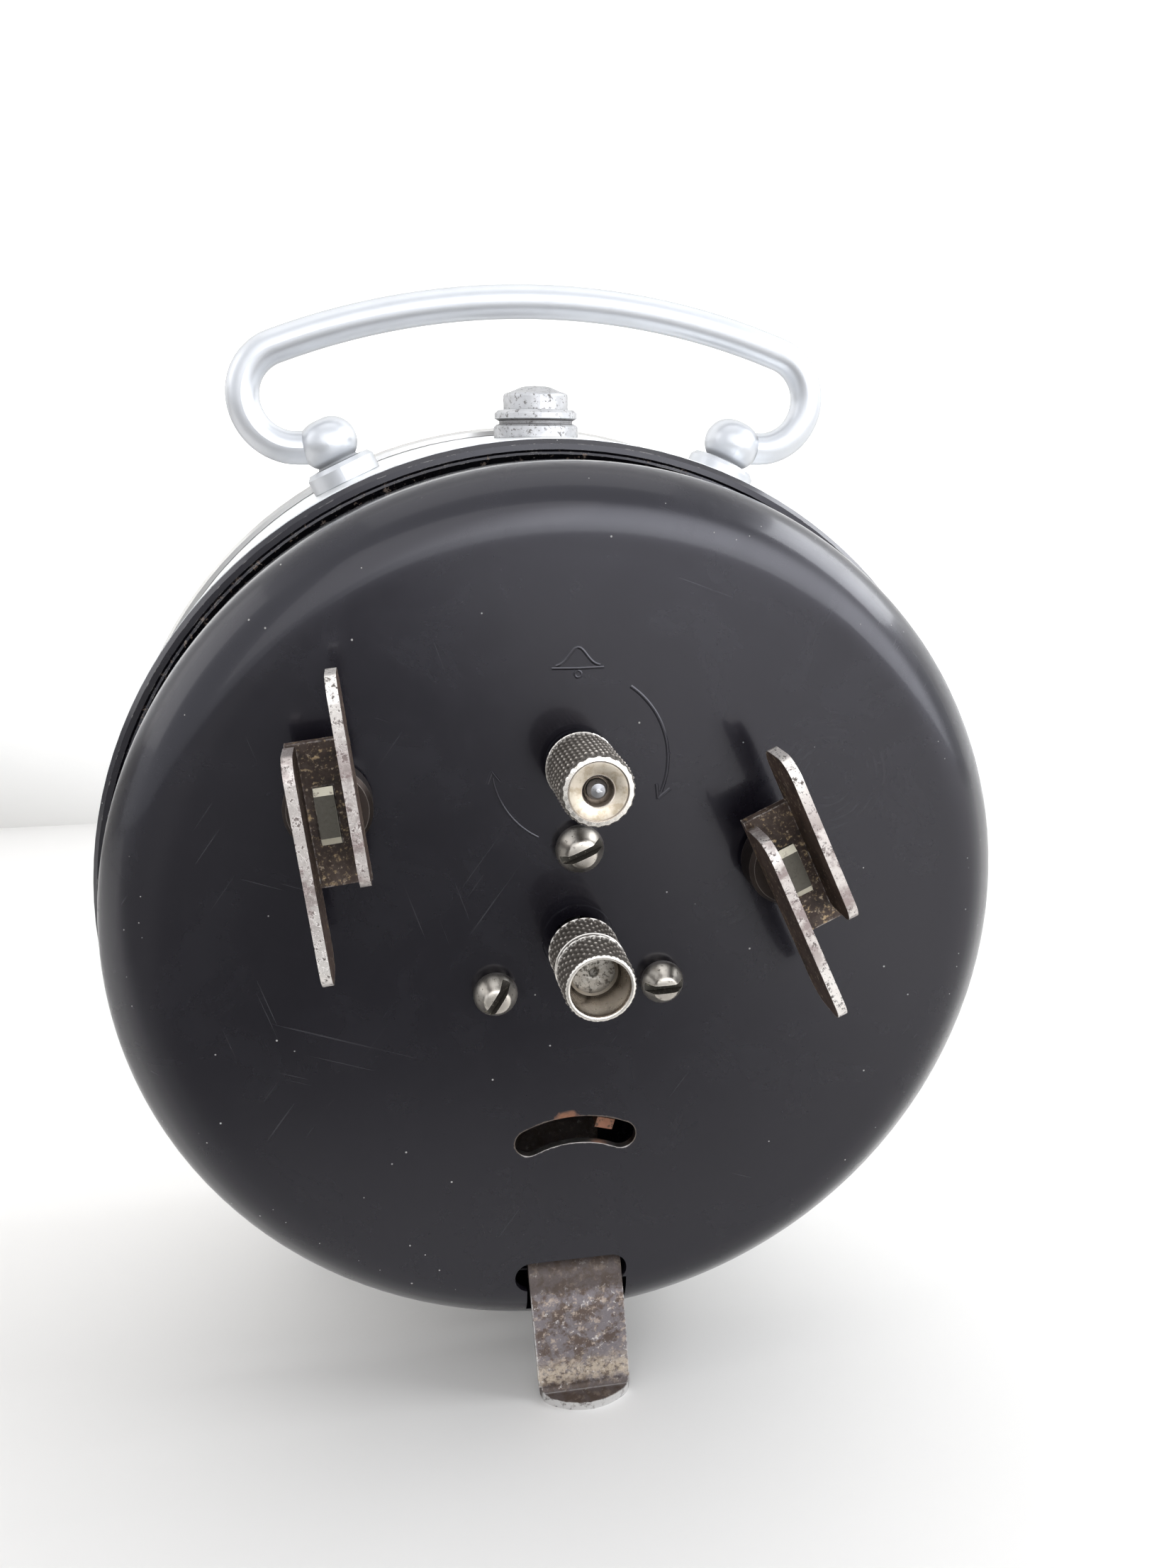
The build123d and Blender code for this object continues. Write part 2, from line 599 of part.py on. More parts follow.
# handle posts: a low collar, a neck and a ball bored for the handle's end
for post_name, side in (("handle_post_left", -1), ("handle_post_right", 1)):
    with BuildPart() as handle_post:
        with BuildSketch(radial(side * POST_ANG)):
            with BuildLine():
                Polyline((0, 52.0), (4.15, 52.0), (4.15, 54.1), (3.7, 54.6), (2.5, 54.7),
                         (2.35, 54.9))
                ThreePointArc((2.35, 54.9), (3.3, POST_R - 0.2), (0, POST_R + 3.3))
                Line((0, POST_R + 3.3), (0, 52.0))
            make_face()
        revolve(axis=radial_axis(side * POST_ANG))
        turned(CENTRE, SKIN, Mode.SUBTRACT)
        radial_disc(side * POST_ANG, 49.2, STUD_R, 5)
        with BuildSketch(Plane(origin=(side * (BALL_X + 0.5), 0, BALL_Z),
                               x_dir=(0, 1, 0), z_dir=(side, 0, 0))):
            Circle(ROD_R + RUN)
        extrude(amount=6, mode=Mode.SUBTRACT)
    save(handle_post, post_name)

# handle: a round rod bent into a flat loop, its ends turned in to the balls
BAIL_TOP = 67.5        # top of the rod's centre line above the axis
BAIL_X = 27.9          # where the straight end meets the corner bend
BAIL_BEND = 5.7        # radius of the corner bend
BAIL_START = BALL_X + 0.6
# the arch is a circle tangent inside to both corner bends
bail_rise = BAIL_TOP - (BALL_Z - AXIS_H) - BAIL_BEND
ARCH_R = (BAIL_X ** 2 + bail_rise ** 2 - BAIL_BEND ** 2) / (2 * (bail_rise - BAIL_BEND))
ARCH_Z = AXIS_H + BAIL_TOP - ARCH_R
arch_half = math.asin(BAIL_X / (ARCH_R - BAIL_BEND))
with BuildPart() as handle_bail:
    for side in (-1, 1):
        with BuildSketch(Plane(origin=(side * BAIL_START, 0, BALL_Z),
                               x_dir=(0, 1, 0), z_dir=(side, 0, 0))):
            Circle(ROD_R)
        extrude(amount=BAIL_X - BAIL_START)
        with BuildSketch(Plane(origin=(side * BAIL_X, 0, BALL_Z),
                               x_dir=(0, 1, 0), z_dir=(1, 0, 0))):
            Circle(ROD_R)
        revolve(axis=Axis((side * BAIL_X, 0, BALL_Z + BAIL_BEND), (0, -side, 0)),
                revolution_arc=180 - math.degrees(arch_half))
    # the long arch over the top
    with BuildSketch(Plane(
            origin=(ARCH_R * math.sin(arch_half), 0, ARCH_Z + ARCH_R * math.cos(arch_half)),
            x_dir=(0, 1, 0), z_dir=(math.cos(arch_half), 0, -math.sin(arch_half)))):
        Circle(ROD_R)
    revolve(axis=Axis((0, 0, ARCH_Z), (0, -1, 0)), revolution_arc=2 * math.degrees(arch_half))
save(handle_bail, "handle_bail")

# ======================= push button =====================================
BUTTON_BORE_R = 1.25
# fixed ringed collar
with BuildPart() as button_collar:
    with BuildSketch(radial(0)):
        with BuildLine():
            Polyline((BUTTON_BORE_R, 49.4), (COLLAR_STEM_R, 49.4), (COLLAR_STEM_R, 52.0),
                     (5.0, 52.0), (5.0, 53.55), (4.7, 53.8), (4.35, 53.9), (4.35, 54.2),
                     (4.9, 54.5), (4.9, 55.1), (4.5, 55.45), (3.88, 55.5), (3.88, 53.3),
                     (BUTTON_BORE_R, 53.3), close=True)
        make_face()
    revolve(axis=radial_axis(0))
    turned(CENTRE, SKIN, Mode.SUBTRACT)
    with BuildSketch(across_radial(0, 49.4)):
        Circle(COLLAR_STEM_R)
        Circle(BUTTON_BORE_R, mode=Mode.SUBTRACT)
    extrude(amount=3.6)
save(button_collar, "button_collar")

# sliding cap on its stem
with BuildPart() as stop_button:
    with BuildSketch(radial(0)):
        with BuildLine():
            Polyline((0, 46.4), (1.2, 46.4), (1.2, 48.6), (1.9, 48.6), (1.9, 49.3), (1.2, 49.3),
                     (1.2, 56.2), (3.05, 56.2), (3.05, 55.35), (3.82, 55.35), (3.82, 57.0))
            Spline((3.82, 57.0), (3.3, 57.45), (1.9, 58.0), (0, 58.2), tangents=((0, 1), (-1, 0)))
            Line((0, 58.2), (0, 46.4))
        make_face()
    revolve(axis=radial_axis(0))
save(stop_button, "stop_button")

SPRING_Z = AXIS_H + 53.62
SPRING_R = 2.2
with BuildPart() as button_spring:
    with BuildLine(Plane(origin=(0, 0, SPRING_Z))):
        Helix(pitch=0.56, height=2.25, radius=SPRING_R)
    with BuildSketch(Plane(origin=(SPRING_R, 0, SPRING_Z), x_dir=(1, 0, 0), z_dir=(0, 1, 0))):
        Circle(0.2)
    sweep(is_frenet=True)
save(button_spring, "button_spring")

# nuts inside the drum for posts, feet and button collar
with BuildPart() as case_nuts:
    for deg, y, stem_r, nut_r in ((POST_ANG, 0, STUD_R, 2.9), (-POST_ANG, 0, STUD_R, 2.9),
                                  (FOOT_DEGS[0], FOOT_Y, STUD_R, 2.9),
                                  (FOOT_DEGS[1], FOOT_Y, STUD_R, 2.9),
                                  (0, 0, COLLAR_STEM_R, 3.6)):
        with BuildSketch(across_radial(deg, 49.45, y)):
            RegularPolygon(nut_r, 6)
            Circle(stem_r + FIX, mode=Mode.SUBTRACT)
        extrude(amount=1.7)
save(case_nuts, "case_nuts")

# ======================= winding keys and knobs ==========================
KEY_BASE_Y = 33.2
KEY_T = 1.05           # key sheet
KEY_WING = 7.5         # height of the wings
TENON_W, TENON_L = 1.92, 5.8
# name: spot, lean in degrees, wings as (place across the key, two ends along it)
KEYS = {
    "alarm": (ALARM_WIND, 6.5, ((2.7, -6.3, 14.3), (-2.4, -15.7, 7.4))),
    "going": (GOING_WIND, 25.0, ((2.7, -5.6, 13.7), (-2.4, -15.3, 6.8))),
}
for key_name, (spot, lean, wings) in KEYS.items():
    with BuildPart() as key:
        with BuildSketch(back_face(spot, KEY_BASE_Y, lean)):
            with Locations((0.15, 0.05)):
                Rectangle(5.1 + KEY_T, 14.7)
            Rectangle(TENON_W + 0.04, TENON_L + 0.04, mode=Mode.SUBTRACT)
        extrude(amount=KEY_T)
        for wing_x, end0, end1 in wings:
            with BuildSketch(edge_on(spot, KEY_BASE_Y, lean, wing_x - KEY_T / 2)):
                with Locations(((end0 + end1) / 2, KEY_WING / 2)):
                    RectangleRounded(end1 - end0, KEY_WING, 2.4)
            extrude(amount=KEY_T)
    save(key, key_name + "_key")

    with BuildPart() as wind_arbor:
        turned(spot, [(0, -11.3), (WIND_PIVOT, -11.3), (WIND_PIVOT, FRONT_IN + 0.1),
                      (WIND_WHEEL_R, FRONT_IN + 0.1), (WIND_WHEEL_R, REAR_IN - 0.1),
                      (WIND_R, REAR_IN - 0.1), (WIND_R, 29.7), (4.4, 29.7), (4.4, 32.6),
                      (4.0, KEY_BASE_Y - FIX), (0, KEY_BASE_Y - FIX)])
        # squared end with chamfered ends, through the key
        with BuildSketch(edge_on(spot, KEY_BASE_Y, lean, -TENON_W / 2)):
            with BuildLine():
                half = TENON_L / 2
                Polyline((-half, -0.5), (-half, 1.35), (-half + 0.75, 1.8), (half - 0.75, 1.8),
                         (half, 1.35), (half, -0.5), close=True)
            make_face()
        extrude(amount=TENON_W)
        # ratchet
        sheet(spot, 8.2, saw(16, 5.2, 4.3, 0.0, lean=0.12, width=0.05), 1.0)
    save(wind_arbor, key_name + "_wind_arbor")

KNOB_R = 3.75
# hand-setting knob: deep cup in its rear face, a groove between two bands
with BuildPart() as hand_set_knob:
    bore_r = CENTRE_ARBOR_R + FIX
    turned(CENTRE, [
        (bore_r, 32.0), (3.3, 32.0), (KNOB_R, 32.5), (KNOB_R, 36.9), (3.5, 37.1), (3.5, 37.5),
        (KNOB_R, 37.7), (KNOB_R, 41.8), (3.5, 42.1), (2.95, 42.1), (2.85, 41.6), (2.7, 38.2),
        (2.1, 37.9), (bore_r, 37.9)])
save(hand_set_knob, "hand_set_knob")

with BuildPart() as centre_arbor:
    turned(CENTRE, rod(CENTRE_ARBOR_R, -19.4, 37.7))
    turned(CENTRE, ring(0.5, 1.9, 10.1, 11.1))
save(centre_arbor, "centre_arbor")

with BuildPart() as alarm_set_knob:
    bore_r = ALARM_ARBOR_R + FIX
    turned(ALARM, [(bore_r, 30.6), (3.3, 30.6), (KNOB_R, 31.1), (KNOB_R, 40.1), (3.5, 40.5),
                   (1.45, 40.5), (1.3, 39.6), (bore_r, 39.6)])
save(alarm_set_knob, "alarm_set_knob")

with BuildPart() as alarm_arbor:
    arbor_r = ALARM_ARBOR_R
    turned(ALARM, [(0, -17.2), (arbor_r, -17.2), (arbor_r, -13.1), (2.6, -13.1), (2.6, -12.5),
                   (arbor_r, -12.5), (arbor_r, 7.9), (2.0, 7.9), (2.0, 8.9), (arbor_r, 8.9),
                   (arbor_r, 39.6), (0.7, 40.1), (0, 40.2)])
save(alarm_arbor, "alarm_arbor")

# ======================= movement frame ==================================
# round windows in both plates: x, height from the clock's axis, radius
PLATE_WINDOWS = ((-30, 20, 6.5), (-6, 33.5, 3.2), (-22, -24, 5.0), (24, -30.5, 4.0))
PIVOT_HOLES = [(THIRD, THIRD_PIVOT), (FOURTH, FOURTH_PIVOT), (ESCAPE, ESCAPE_PIVOT),
               (PALLET, PALLET_PIVOT), (STAR, STAR_PIVOT),
               (CENTRE, CENTRE_ARBOR_R), (ALARM, ALARM_ARBOR_R)]
REAR_PIVOT_HOLES = [(GOING_WIND, WIND_R), (ALARM_WIND, WIND_R), (HAMMER, HAMMER_R)]
FRONT_PIVOT_HOLES = [(GOING_WIND, WIND_PIVOT), (ALARM_WIND, WIND_PIVOT), (HAMMER, HAMMER_PIVOT)]
SEATS = [(BALANCE, CUP_R)] + [(spot, PILLAR_END_R) for spot in PILLARS]
REAR_SEATS = [(spot, BELL_PILLAR_END_R) for spot in SCREWS]
FRONT_SEATS = [(spot, STUD_END_R) for spot in DIAL_POSTS + [MINUTE_STUD]]

for plate_name, y, own_pivots, own_seats in (
        ("rear_plate", REAR_OUT, REAR_PIVOT_HOLES, REAR_SEATS),
        ("front_plate", FRONT_IN, FRONT_PIVOT_HOLES, FRONT_SEATS)):
    holes = [(spot, r + RUN) for spot, r in PIVOT_HOLES + own_pivots]
    holes += [(spot, r + FIX) for spot, r in SEATS + own_seats]
    with BuildPart() as plate:
        with BuildSketch(face(CENTRE, y)):
            Circle(PLATE_R)
            for x, height, window_r in PLATE_WINDOWS:
                with Locations((x, height)):
                    Circle(window_r, mode=Mode.SUBTRACT)
            for spot, hole_r in holes:
                with Locations((spot[0], spot[1] - AXIS_H)):
                    Circle(hole_r, mode=Mode.SUBTRACT)
        extrude(amount=PLATE_T)
    save(plate, plate_name)

with BuildPart() as plate_pillars:
    for spot in PILLARS:
        turned(spot, [(0, -12.6), (PILLAR_END_R, -12.6), (PILLAR_END_R, FRONT_IN + FIX),
                      (2.2, FRONT_IN + FIX), (2.2, REAR_IN - FIX), (PILLAR_END_R, REAR_IN - FIX),
                      (PILLAR_END_R, 11.3), (0, 11.3)])
save(plate_pillars, "plate_pillars")

with BuildPart() as plate_nuts:
    for spot in PILLARS:
        for y in (FRONT_OUT - FIX, 11.3):
            with BuildSketch(face(spot, y)):
                RegularPolygon(2.4, 6)
                Circle(PILLAR_END_R + FIX, mode=Mode.SUBTRACT)
            extrude(amount=1.25)
save(plate_nuts, "plate_nuts")

with BuildPart() as dial_posts:
    for spot in DIAL_POSTS:
        turned(spot, [(0, DIAL_Y + FIX), (1.6, DIAL_Y + FIX), (1.6, FRONT_OUT - FIX),
                      (STUD_END_R, FRONT_OUT - FIX), (STUD_END_R, -9.6), (0, -9.6)])
save(dial_posts, "dial_posts")

# balance cup screws, front and rear, with blind pivot cups
with BuildPart() as balance_cups:
    turned(BALANCE, [(0, -12.6), (2.6, -12.6), (2.6, -11.5), (CUP_R, -11.5), (CUP_R, -8.6),
                     (0.5, -8.6), (0.5, -9.6), (0, -9.6)])
    turned(BALANCE, [(0, 11.0), (CUP_R, 11.0), (CUP_R, 8.0), (0.5, 8.0), (0.5, 9.0), (0, 9.0)])
save(balance_cups, "balance_cups")

with BuildPart() as minute_stud:
    turned(MINUTE_STUD, [
        (0, -14.9), (1.3, -14.9), (1.3, -14.4), (MINUTE_STUD_R, -14.4), (MINUTE_STUD_R, -11.5),
        (1.4, -11.5), (1.4, FRONT_OUT - FIX), (STUD_END_R, FRONT_OUT - FIX),
        (STUD_END_R, -9.8), (0, -9.8)])
save(minute_stud, "minute_stud")

# mainsprings: flat coils whose tails reach towards a pillar
MAINSPRING_TURNS = 6
for spring_name, spot, pillar, coil_r in (
        ("going_mainspring", GOING_WIND, PILLARS[0], 12.2),
        ("alarm_mainspring", ALARM_WIND, PILLARS[1], 11.0)):
    tail_end = polar((0, 0), math.dist(spot, pillar) - 2.6, bearing(spot, pillar))
    start = angle(spot, pillar) - 0.55 - 2 * math.pi * MAINSPRING_TURNS
    with BuildPart() as mainspring:
        sheet(spot, 4.0, coil(3.6, coil_r, MAINSPRING_TURNS, 0.35, start, tail_end), 8.0)
    save(mainspring, spring_name)

# hairspring with its stud
with BuildPart() as hairspring:
    sheet(BALANCE, 5.6, coil(1.5, 5.0, 6, 0.14, 0.0, (5.9, 1.2)), 0.5)
    bar((BALANCE[0] + 6.1, BALANCE[1] + 1.2), 8.98, 0.9, 0.9, 4.2)
save(hairspring, "hairspring")

# ======================= going train =====================================
# directions of the meshes, in radians
TO_CENTRE = angle(GOING_WIND, CENTRE)
TO_THIRD = angle(CENTRE, THIRD)
TO_FOURTH = angle(THIRD, FOURTH)
TO_ESCAPE = angle(FOURTH, ESCAPE)
TO_STAR = angle(ALARM_WIND, STAR)

# great wheels of both trains, each with a hub and a pivot pin for its click
CLICK_PIN_R = 0.8
CLICK_REACH = 8.3      # winding arbor to click pin
GOING_CLICK_DEG, ALARM_CLICK_DEG = 150.0, 60.0
for great_name, spot, outline, windows, click_deg in (
        ("going_great_wheel", GOING_WIND, gear(GOING_TEETH, GOING_MODULE, WHEEL_SHIFT, TO_CENTRE),
         (9.6, 17.4, 5), GOING_CLICK_DEG),
        ("alarm_great_wheel", ALARM_WIND,
         gear(ALARM_GREAT_TEETH, ALARM_MODULE, WHEEL_SHIFT, TO_STAR),
         (9.8, 12.9, 6), ALARM_CLICK_DEG)):
    with BuildPart() as great_wheel:
        sheet(spot, 6.2, outline, 1.2, windows)
        turned(spot, ring(2, 4.2, 4.6, 7.0))
        turned(polar(spot, CLICK_REACH, click_deg), rod(CLICK_PIN_R, 5.5, 8.3))
        drill(spot, WIND_WHEEL_R + RUN, 20, 30)
    save(great_wheel, great_name)

with BuildPart() as centre_wheel:
    sheet(CENTRE, 6.8, gear(CENTRE_PINION, GOING_MODULE, PINION_SHIFT,
                            gap_phase(TO_CENTRE, CENTRE_PINION)), 2.2)
    sheet(CENTRE, -5.4, gear(CENTRE_TEETH, CENTRE_MODULE, WHEEL_SHIFT, TO_THIRD), 0.8,
          windows=(4.2, 11.0, 5))
    turned(CENTRE, ring(1.0, 1.65, -9.8, 8.8))
    turned(CENTRE, ring(1.0, 3.0, -7.2, -5.0))
    drill(CENTRE, CENTRE_ARBOR_R + RUN, 20, 40)
save(centre_wheel, "centre_wheel")

with BuildPart() as third_wheel:
    turned(THIRD, arbor_section(1.0, THIRD_PIVOT))
    sheet(THIRD, -4.8, gear(THIRD_PINION, CENTRE_MODULE, PINION_SHIFT,
                            gap_phase(TO_THIRD, THIRD_PINION)), 2.0)
    sheet(THIRD, -1.2, gear(THIRD_TEETH, THIRD_MODULE, WHEEL_SHIFT, TO_FOURTH), 0.8,
          windows=(3.4, 10.2, 5))
    turned(THIRD, ring(0.5, 2.4, -2.6, -0.8))
save(third_wheel, "third_wheel")

with BuildPart() as fourth_wheel:
    turned(FOURTH, arbor_section(0.85, FOURTH_PIVOT))
    sheet(FOURTH, -0.6, gear(FOURTH_PINION, THIRD_MODULE, PINION_SHIFT,
                             gap_phase(TO_FOURTH, FOURTH_PINION)), 2.0)
    sheet(FOURTH, 2.1, gear(FOURTH_TEETH, FOURTH_MODULE, WHEEL_SHIFT, TO_ESCAPE), 0.6,
          windows=(2.6, 7.4, 5))
    turned(FOURTH, ring(0.5, 1.9, 1.1, 2.6))
save(fourth_wheel, "fourth_wheel")

ESCAPE_R = 5.0
PIN_SPREAD = 30        # degrees from the wheel-to-lever line to each pin
ESCAPE_PHASE = angle(ESCAPE, PALLET) + math.radians(PIN_SPREAD - 7.5)
with BuildPart() as escape_wheel:
    turned(ESCAPE, arbor_section(0.75, ESCAPE_PIVOT))
    sheet(ESCAPE, 2.7, gear(ESCAPE_PINION, FOURTH_MODULE, PINION_SHIFT,
                            gap_phase(TO_ESCAPE, ESCAPE_PINION)), 1.8)
    sheet(ESCAPE, -3.9, saw(15, ESCAPE_R, 3.9, ESCAPE_PHASE, width=0.08), 0.7,
          windows=(1.6, 3.4, 4))
    turned(ESCAPE, ring(0.4, 1.3, -5.0, -3.4))
save(escape_wheel, "escape_wheel")


def pins_astride(wheel, lever, radius):
    """Spots of two pins round a wheel, one each side of the line to the lever."""
    return [polar(wheel, radius, bearing(wheel, lever) + side * PIN_SPREAD) for side in (-1, 1)]


# pin pallet lever: two pins astride the escape wheel, fork towards the balance
LEVER_Y, LEVER_T = -2.6, 0.6
FORK_REACH = math.dist(PALLET, BALANCE) - 1.95
FORK_DEG = bearing(PALLET, BALANCE)
with BuildPart() as pallet_lever:
    turned(PALLET, arbor_section(0.7, PALLET_PIVOT))
    disc(PALLET, 1.5, LEVER_Y, LEVER_T)
    for pin in pins_astride(ESCAPE, PALLET, ESCAPE_R + 0.25 + 0.09):
        with BuildSketch(face(midpoint(PALLET, pin), LEVER_Y)):
            SlotCenterToCenter(math.dist(PALLET, pin), 0.9, rotation=bearing(PALLET, pin))
        extrude(amount=LEVER_T)
        turned(pin, rod(0.22, -5.0, -2.9))
    bar(polar(PALLET, FORK_REACH / 2, FORK_DEG), LEVER_Y, FORK_REACH, 0.9, LEVER_T, FORK_DEG)
    for side in (-1, 1):
        tine = polar(polar(PALLET, FORK_REACH - 0.3, FORK_DEG), side * 0.62, FORK_DEG + 90)
        bar(tine, LEVER_Y, 1.6, 0.5, LEVER_T, FORK_DEG)
    # notch between the tines
    bar(polar(PALLET, FORK_REACH, FORK_DEG), -2.0, 1.6, 0.74, 2.0, FORK_DEG, Mode.SUBTRACT)
save(pallet_lever, "pallet_lever")

# balance: rimmed wheel on a staff, its pin on the side away from the lever
with BuildPart() as balance_wheel:
    turned(BALANCE, [(0, -9.5), (0.4, -9.5), (0.4, -8.5), (0.8, -8.1), (0.8, 7.5), (0.4, 7.9),
                     (0.4, 8.9), (0, 8.9)])
    with BuildSketch(face(BALANCE, 2.0)):
        Circle(8.8)
        Circle(7.5, mode=Mode.SUBTRACT)
        Rectangle(15.6, 1.4)
        Circle(1.8)
    extrude(amount=1.4)
    turned(BALANCE, ring(0.5, 1.25, 5.0, 5.7))
    turned(BALANCE, ring(0.5, 1.5, -4.2, -3.6))
    turned(polar(BALANCE, 1.15, bearing(BALANCE, PALLET) + 180), rod(0.3, -4.0, -2.4))
save(balance_wheel, "balance_wheel")

# regulator lever: ring on the rear cup, arm and a tip standing into the window
REGULATOR_DEG = 90 + 16.0
REGULATOR_TIP_Y = 27.2
with BuildPart() as regulator_lever:
    with BuildSketch(face(BALANCE, 10.75)):
        Circle(3.4)
        with Locations(polar((0, 0), 6.6, REGULATOR_DEG)):
            Rectangle(13.2, 1.9, rotation=REGULATOR_DEG)
        Circle(CUP_R + RUN, mode=Mode.SUBTRACT)
    extrude(amount=0.6)
    tip = polar(BALANCE, 12.5, REGULATOR_DEG)
    bar(tip, REGULATOR_TIP_Y, 1.3, 1.7, 16.8, REGULATOR_DEG)
    bar(tip, REGULATOR_TIP_Y, 1.3, 2.1, 0.6, REGULATOR_DEG)
save(regulator_lever, "regulator_lever")

# ======================= motion work and hands ===========================
TO_MINUTE = angle(CENTRE, MINUTE_STUD)
STRAIGHT_UP = math.pi / 2
HOUR_PHASE = TO_MINUTE + math.pi / HOUR_TEETH
# mirrors the hour wheel's teeth across the mesh straight above the centre
ALARM_PHASE = gap_phase(STRAIGHT_UP, HOUR_TEETH) - (HOUR_PHASE - STRAIGHT_UP)

with BuildPart() as cannon_pinion:
    sheet(CENTRE, -11.8, gear(CANNON_TEETH, CANNON_MODULE, PINION_SHIFT, TO_MINUTE), 0.9)
    turned(CENTRE, ring(1.0, CANNON_R, -18.4, -11.5))
    drill(CENTRE, CENTRE_ARBOR_R + FIX, 0, 30)
save(cannon_pinion, "cannon_pinion")

with BuildPart() as minute_wheel:
    sheet(MINUTE_STUD, -11.85, gear(MINUTE_TEETH, CANNON_MODULE, WHEEL_SHIFT,
                                    gap_phase(TO_MINUTE, MINUTE_TEETH)), 0.8)
    sheet(MINUTE_STUD, -12.6, gear(MINUTE_PINION, HOUR_MODULE, PINION_SHIFT,
                                   TO_MINUTE + math.pi), 1.6)
    drill(MINUTE_STUD, MINUTE_STUD_R + RUN, 0, 30)
save(minute_wheel, "minute_wheel")

with BuildPart() as hour_wheel:
    sheet(CENTRE, -13.2, gear(HOUR_TEETH, HOUR_MODULE, WHEEL_SHIFT, HOUR_PHASE), 0.8)
    turned(CENTRE, ring(1.5, HOUR_PIPE_R, -18.0, -13.2))
    drill(CENTRE, CANNON_R + RUN, 0, 30)
save(hour_wheel, "hour_wheel")

# same tooth count as the hour wheel that drives it
with BuildPart() as alarm_wheel:
    sheet(ALARM, -13.2, gear(HOUR_TEETH, HOUR_MODULE, PINION_SHIFT, ALARM_PHASE), 0.8)
    turned(ALARM, ring(0.5, 2.4, -14.6, -13.2))
    drill(ALARM, ALARM_ARBOR_R + RUN, 0, 30)
save(alarm_wheel, "alarm_wheel")


def hand(spot, y, thick, bore, length, root_w, mid_w, deg, tail):
    """Baton hand with a boss, pointing deg clockwise from twelve as seen from the dial side."""
    s, c = sin_cos(deg)
    root, middle = root_w / 2, mid_w / 2
    with BuildSketch(Plane(origin=(spot[0], y, spot[1]),
                           x_dir=(c, 0, -s), z_dir=(0, -1, 0))) as outline:
        with BuildLine():
            Polyline((-root, 0), (-root * 0.8, -tail), (root * 0.8, -tail), (root, 0),
                     (middle, length * 0.62), (root, length * 0.72), (0.12, length),
                     (-0.12, length), (-root, length * 0.72), (-middle, length * 0.62),
                     close=True)
        make_face()
        Circle(bore + 1.4)
        Circle(bore, mode=Mode.SUBTRACT)
    extrude(outline.sketch, amount=thick)


with BuildPart() as hour_hand:
    hand(CENTRE, y=-17.45, thick=0.35, bore=HOUR_PIPE_R + FIX, length=24.0,
         root_w=2.2, mid_w=3.4, deg=305.0, tail=6.0)
save(hour_hand, "hour_hand")

with BuildPart() as minute_hand:
    hand(CENTRE, y=-18.7, thick=0.35, bore=CENTRE_ARBOR_R + FIX, length=37.0,
         root_w=1.7, mid_w=2.6, deg=60.0, tail=8.0)
save(minute_hand, "minute_hand")

with BuildPart() as alarm_hand:
    hand(ALARM, y=-16.55, thick=0.3, bore=ALARM_ARBOR_R + FIX, length=7.4,
         root_w=1.2, mid_w=1.0, deg=200.0, tail=2.6)
save(alarm_hand, "alarm_hand")

# ======================= alarm train =====================================
STAR_PHASE = angle(STAR, HAMMER) + math.radians(PIN_SPREAD - 4.5)
with BuildPart() as alarm_star_wheel:
    turned(STAR, arbor_section(1.0, STAR_PIVOT))
    sheet(STAR, 6.6, gear(STAR_PINION, ALARM_MODULE, PINION_SHIFT,
                          gap_phase(TO_STAR, STAR_PINION)), 2.0)
    sheet(STAR, 0.8, saw(15, 6.0, 4.5, STAR_PHASE, width=0.06), 0.8)
save(alarm_star_wheel, "alarm_star_wheel")

# hammer: two pins astride the star wheel, arm and head inside the bell
HAMMER_HEAD = polar(CENTRE, 44.2, -30.0)
with BuildPart() as alarm_hammer:
    turned(HAMMER, [(0, FRONT_OUT - 0.2), (HAMMER_PIVOT, FRONT_OUT - 0.2),
                    (HAMMER_PIVOT, FRONT_IN + 0.1), (HAMMER_R, FRONT_IN + 0.1),
                    (HAMMER_R, 24.0), (0, 24.0)])
    for pin in pins_astride(STAR, HAMMER, 6.36):
        with BuildSketch(face(midpoint(HAMMER, pin), 2.2)):
            SlotCenterToCenter(math.dist(HAMMER, pin), 1.3, rotation=bearing(HAMMER, pin))
        extrude(amount=0.8)
        turned(pin, rod(0.28, -0.4, 2.0))
    with BuildSketch(face(midpoint(HAMMER, HAMMER_HEAD), 23.6)):
        SlotCenterToCenter(math.dist(HAMMER, HAMMER_HEAD), 2.0,
                           rotation=bearing(HAMMER, HAMMER_HEAD))
    extrude(amount=1.2)
    disc(HAMMER_HEAD, 3.2, 25.2, 4.6)
save(alarm_hammer, "alarm_hammer")

# clicks: small pawls on the great wheels, drawn just lifted clear of the ratchets
for click_name, spot, base_deg in (("going_click", GOING_WIND, GOING_CLICK_DEG),
                                   ("alarm_click", ALARM_WIND, ALARM_CLICK_DEG)):
    click_pivot = polar(spot, CLICK_REACH, base_deg)
    # pawl corners: radius about the winding arbor, degrees on from the pin
    corners = [polar(spot, r, base_deg + deg)
               for r, deg in ((5.42, 39.0), (6.9, 6.0), (9.6, 4.0), (6.9, 31.0))]
    with BuildPart() as click:
        with BuildSketch(face((0, 0), 8.1)):
            with Locations(click_pivot):
                Circle(1.5)
            with BuildLine():
                Polyline(*corners, close=True)
            make_face()
            with Locations(click_pivot):
                Circle(CLICK_PIN_R + RUN, mode=Mode.SUBTRACT)
        extrude(amount=0.8)
    save(click, click_name)
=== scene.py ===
"""A twin-key alarm clock, standing on a pale floor and seen from behind.

+Z is up. The dial faces -Y and the bell, keys and knobs face +Y, so in the view from behind +X
lies to the left. The floor is at z = 0.
"""
import bpy
import bmesh
import math
import random
from mathutils import Matrix, Vector

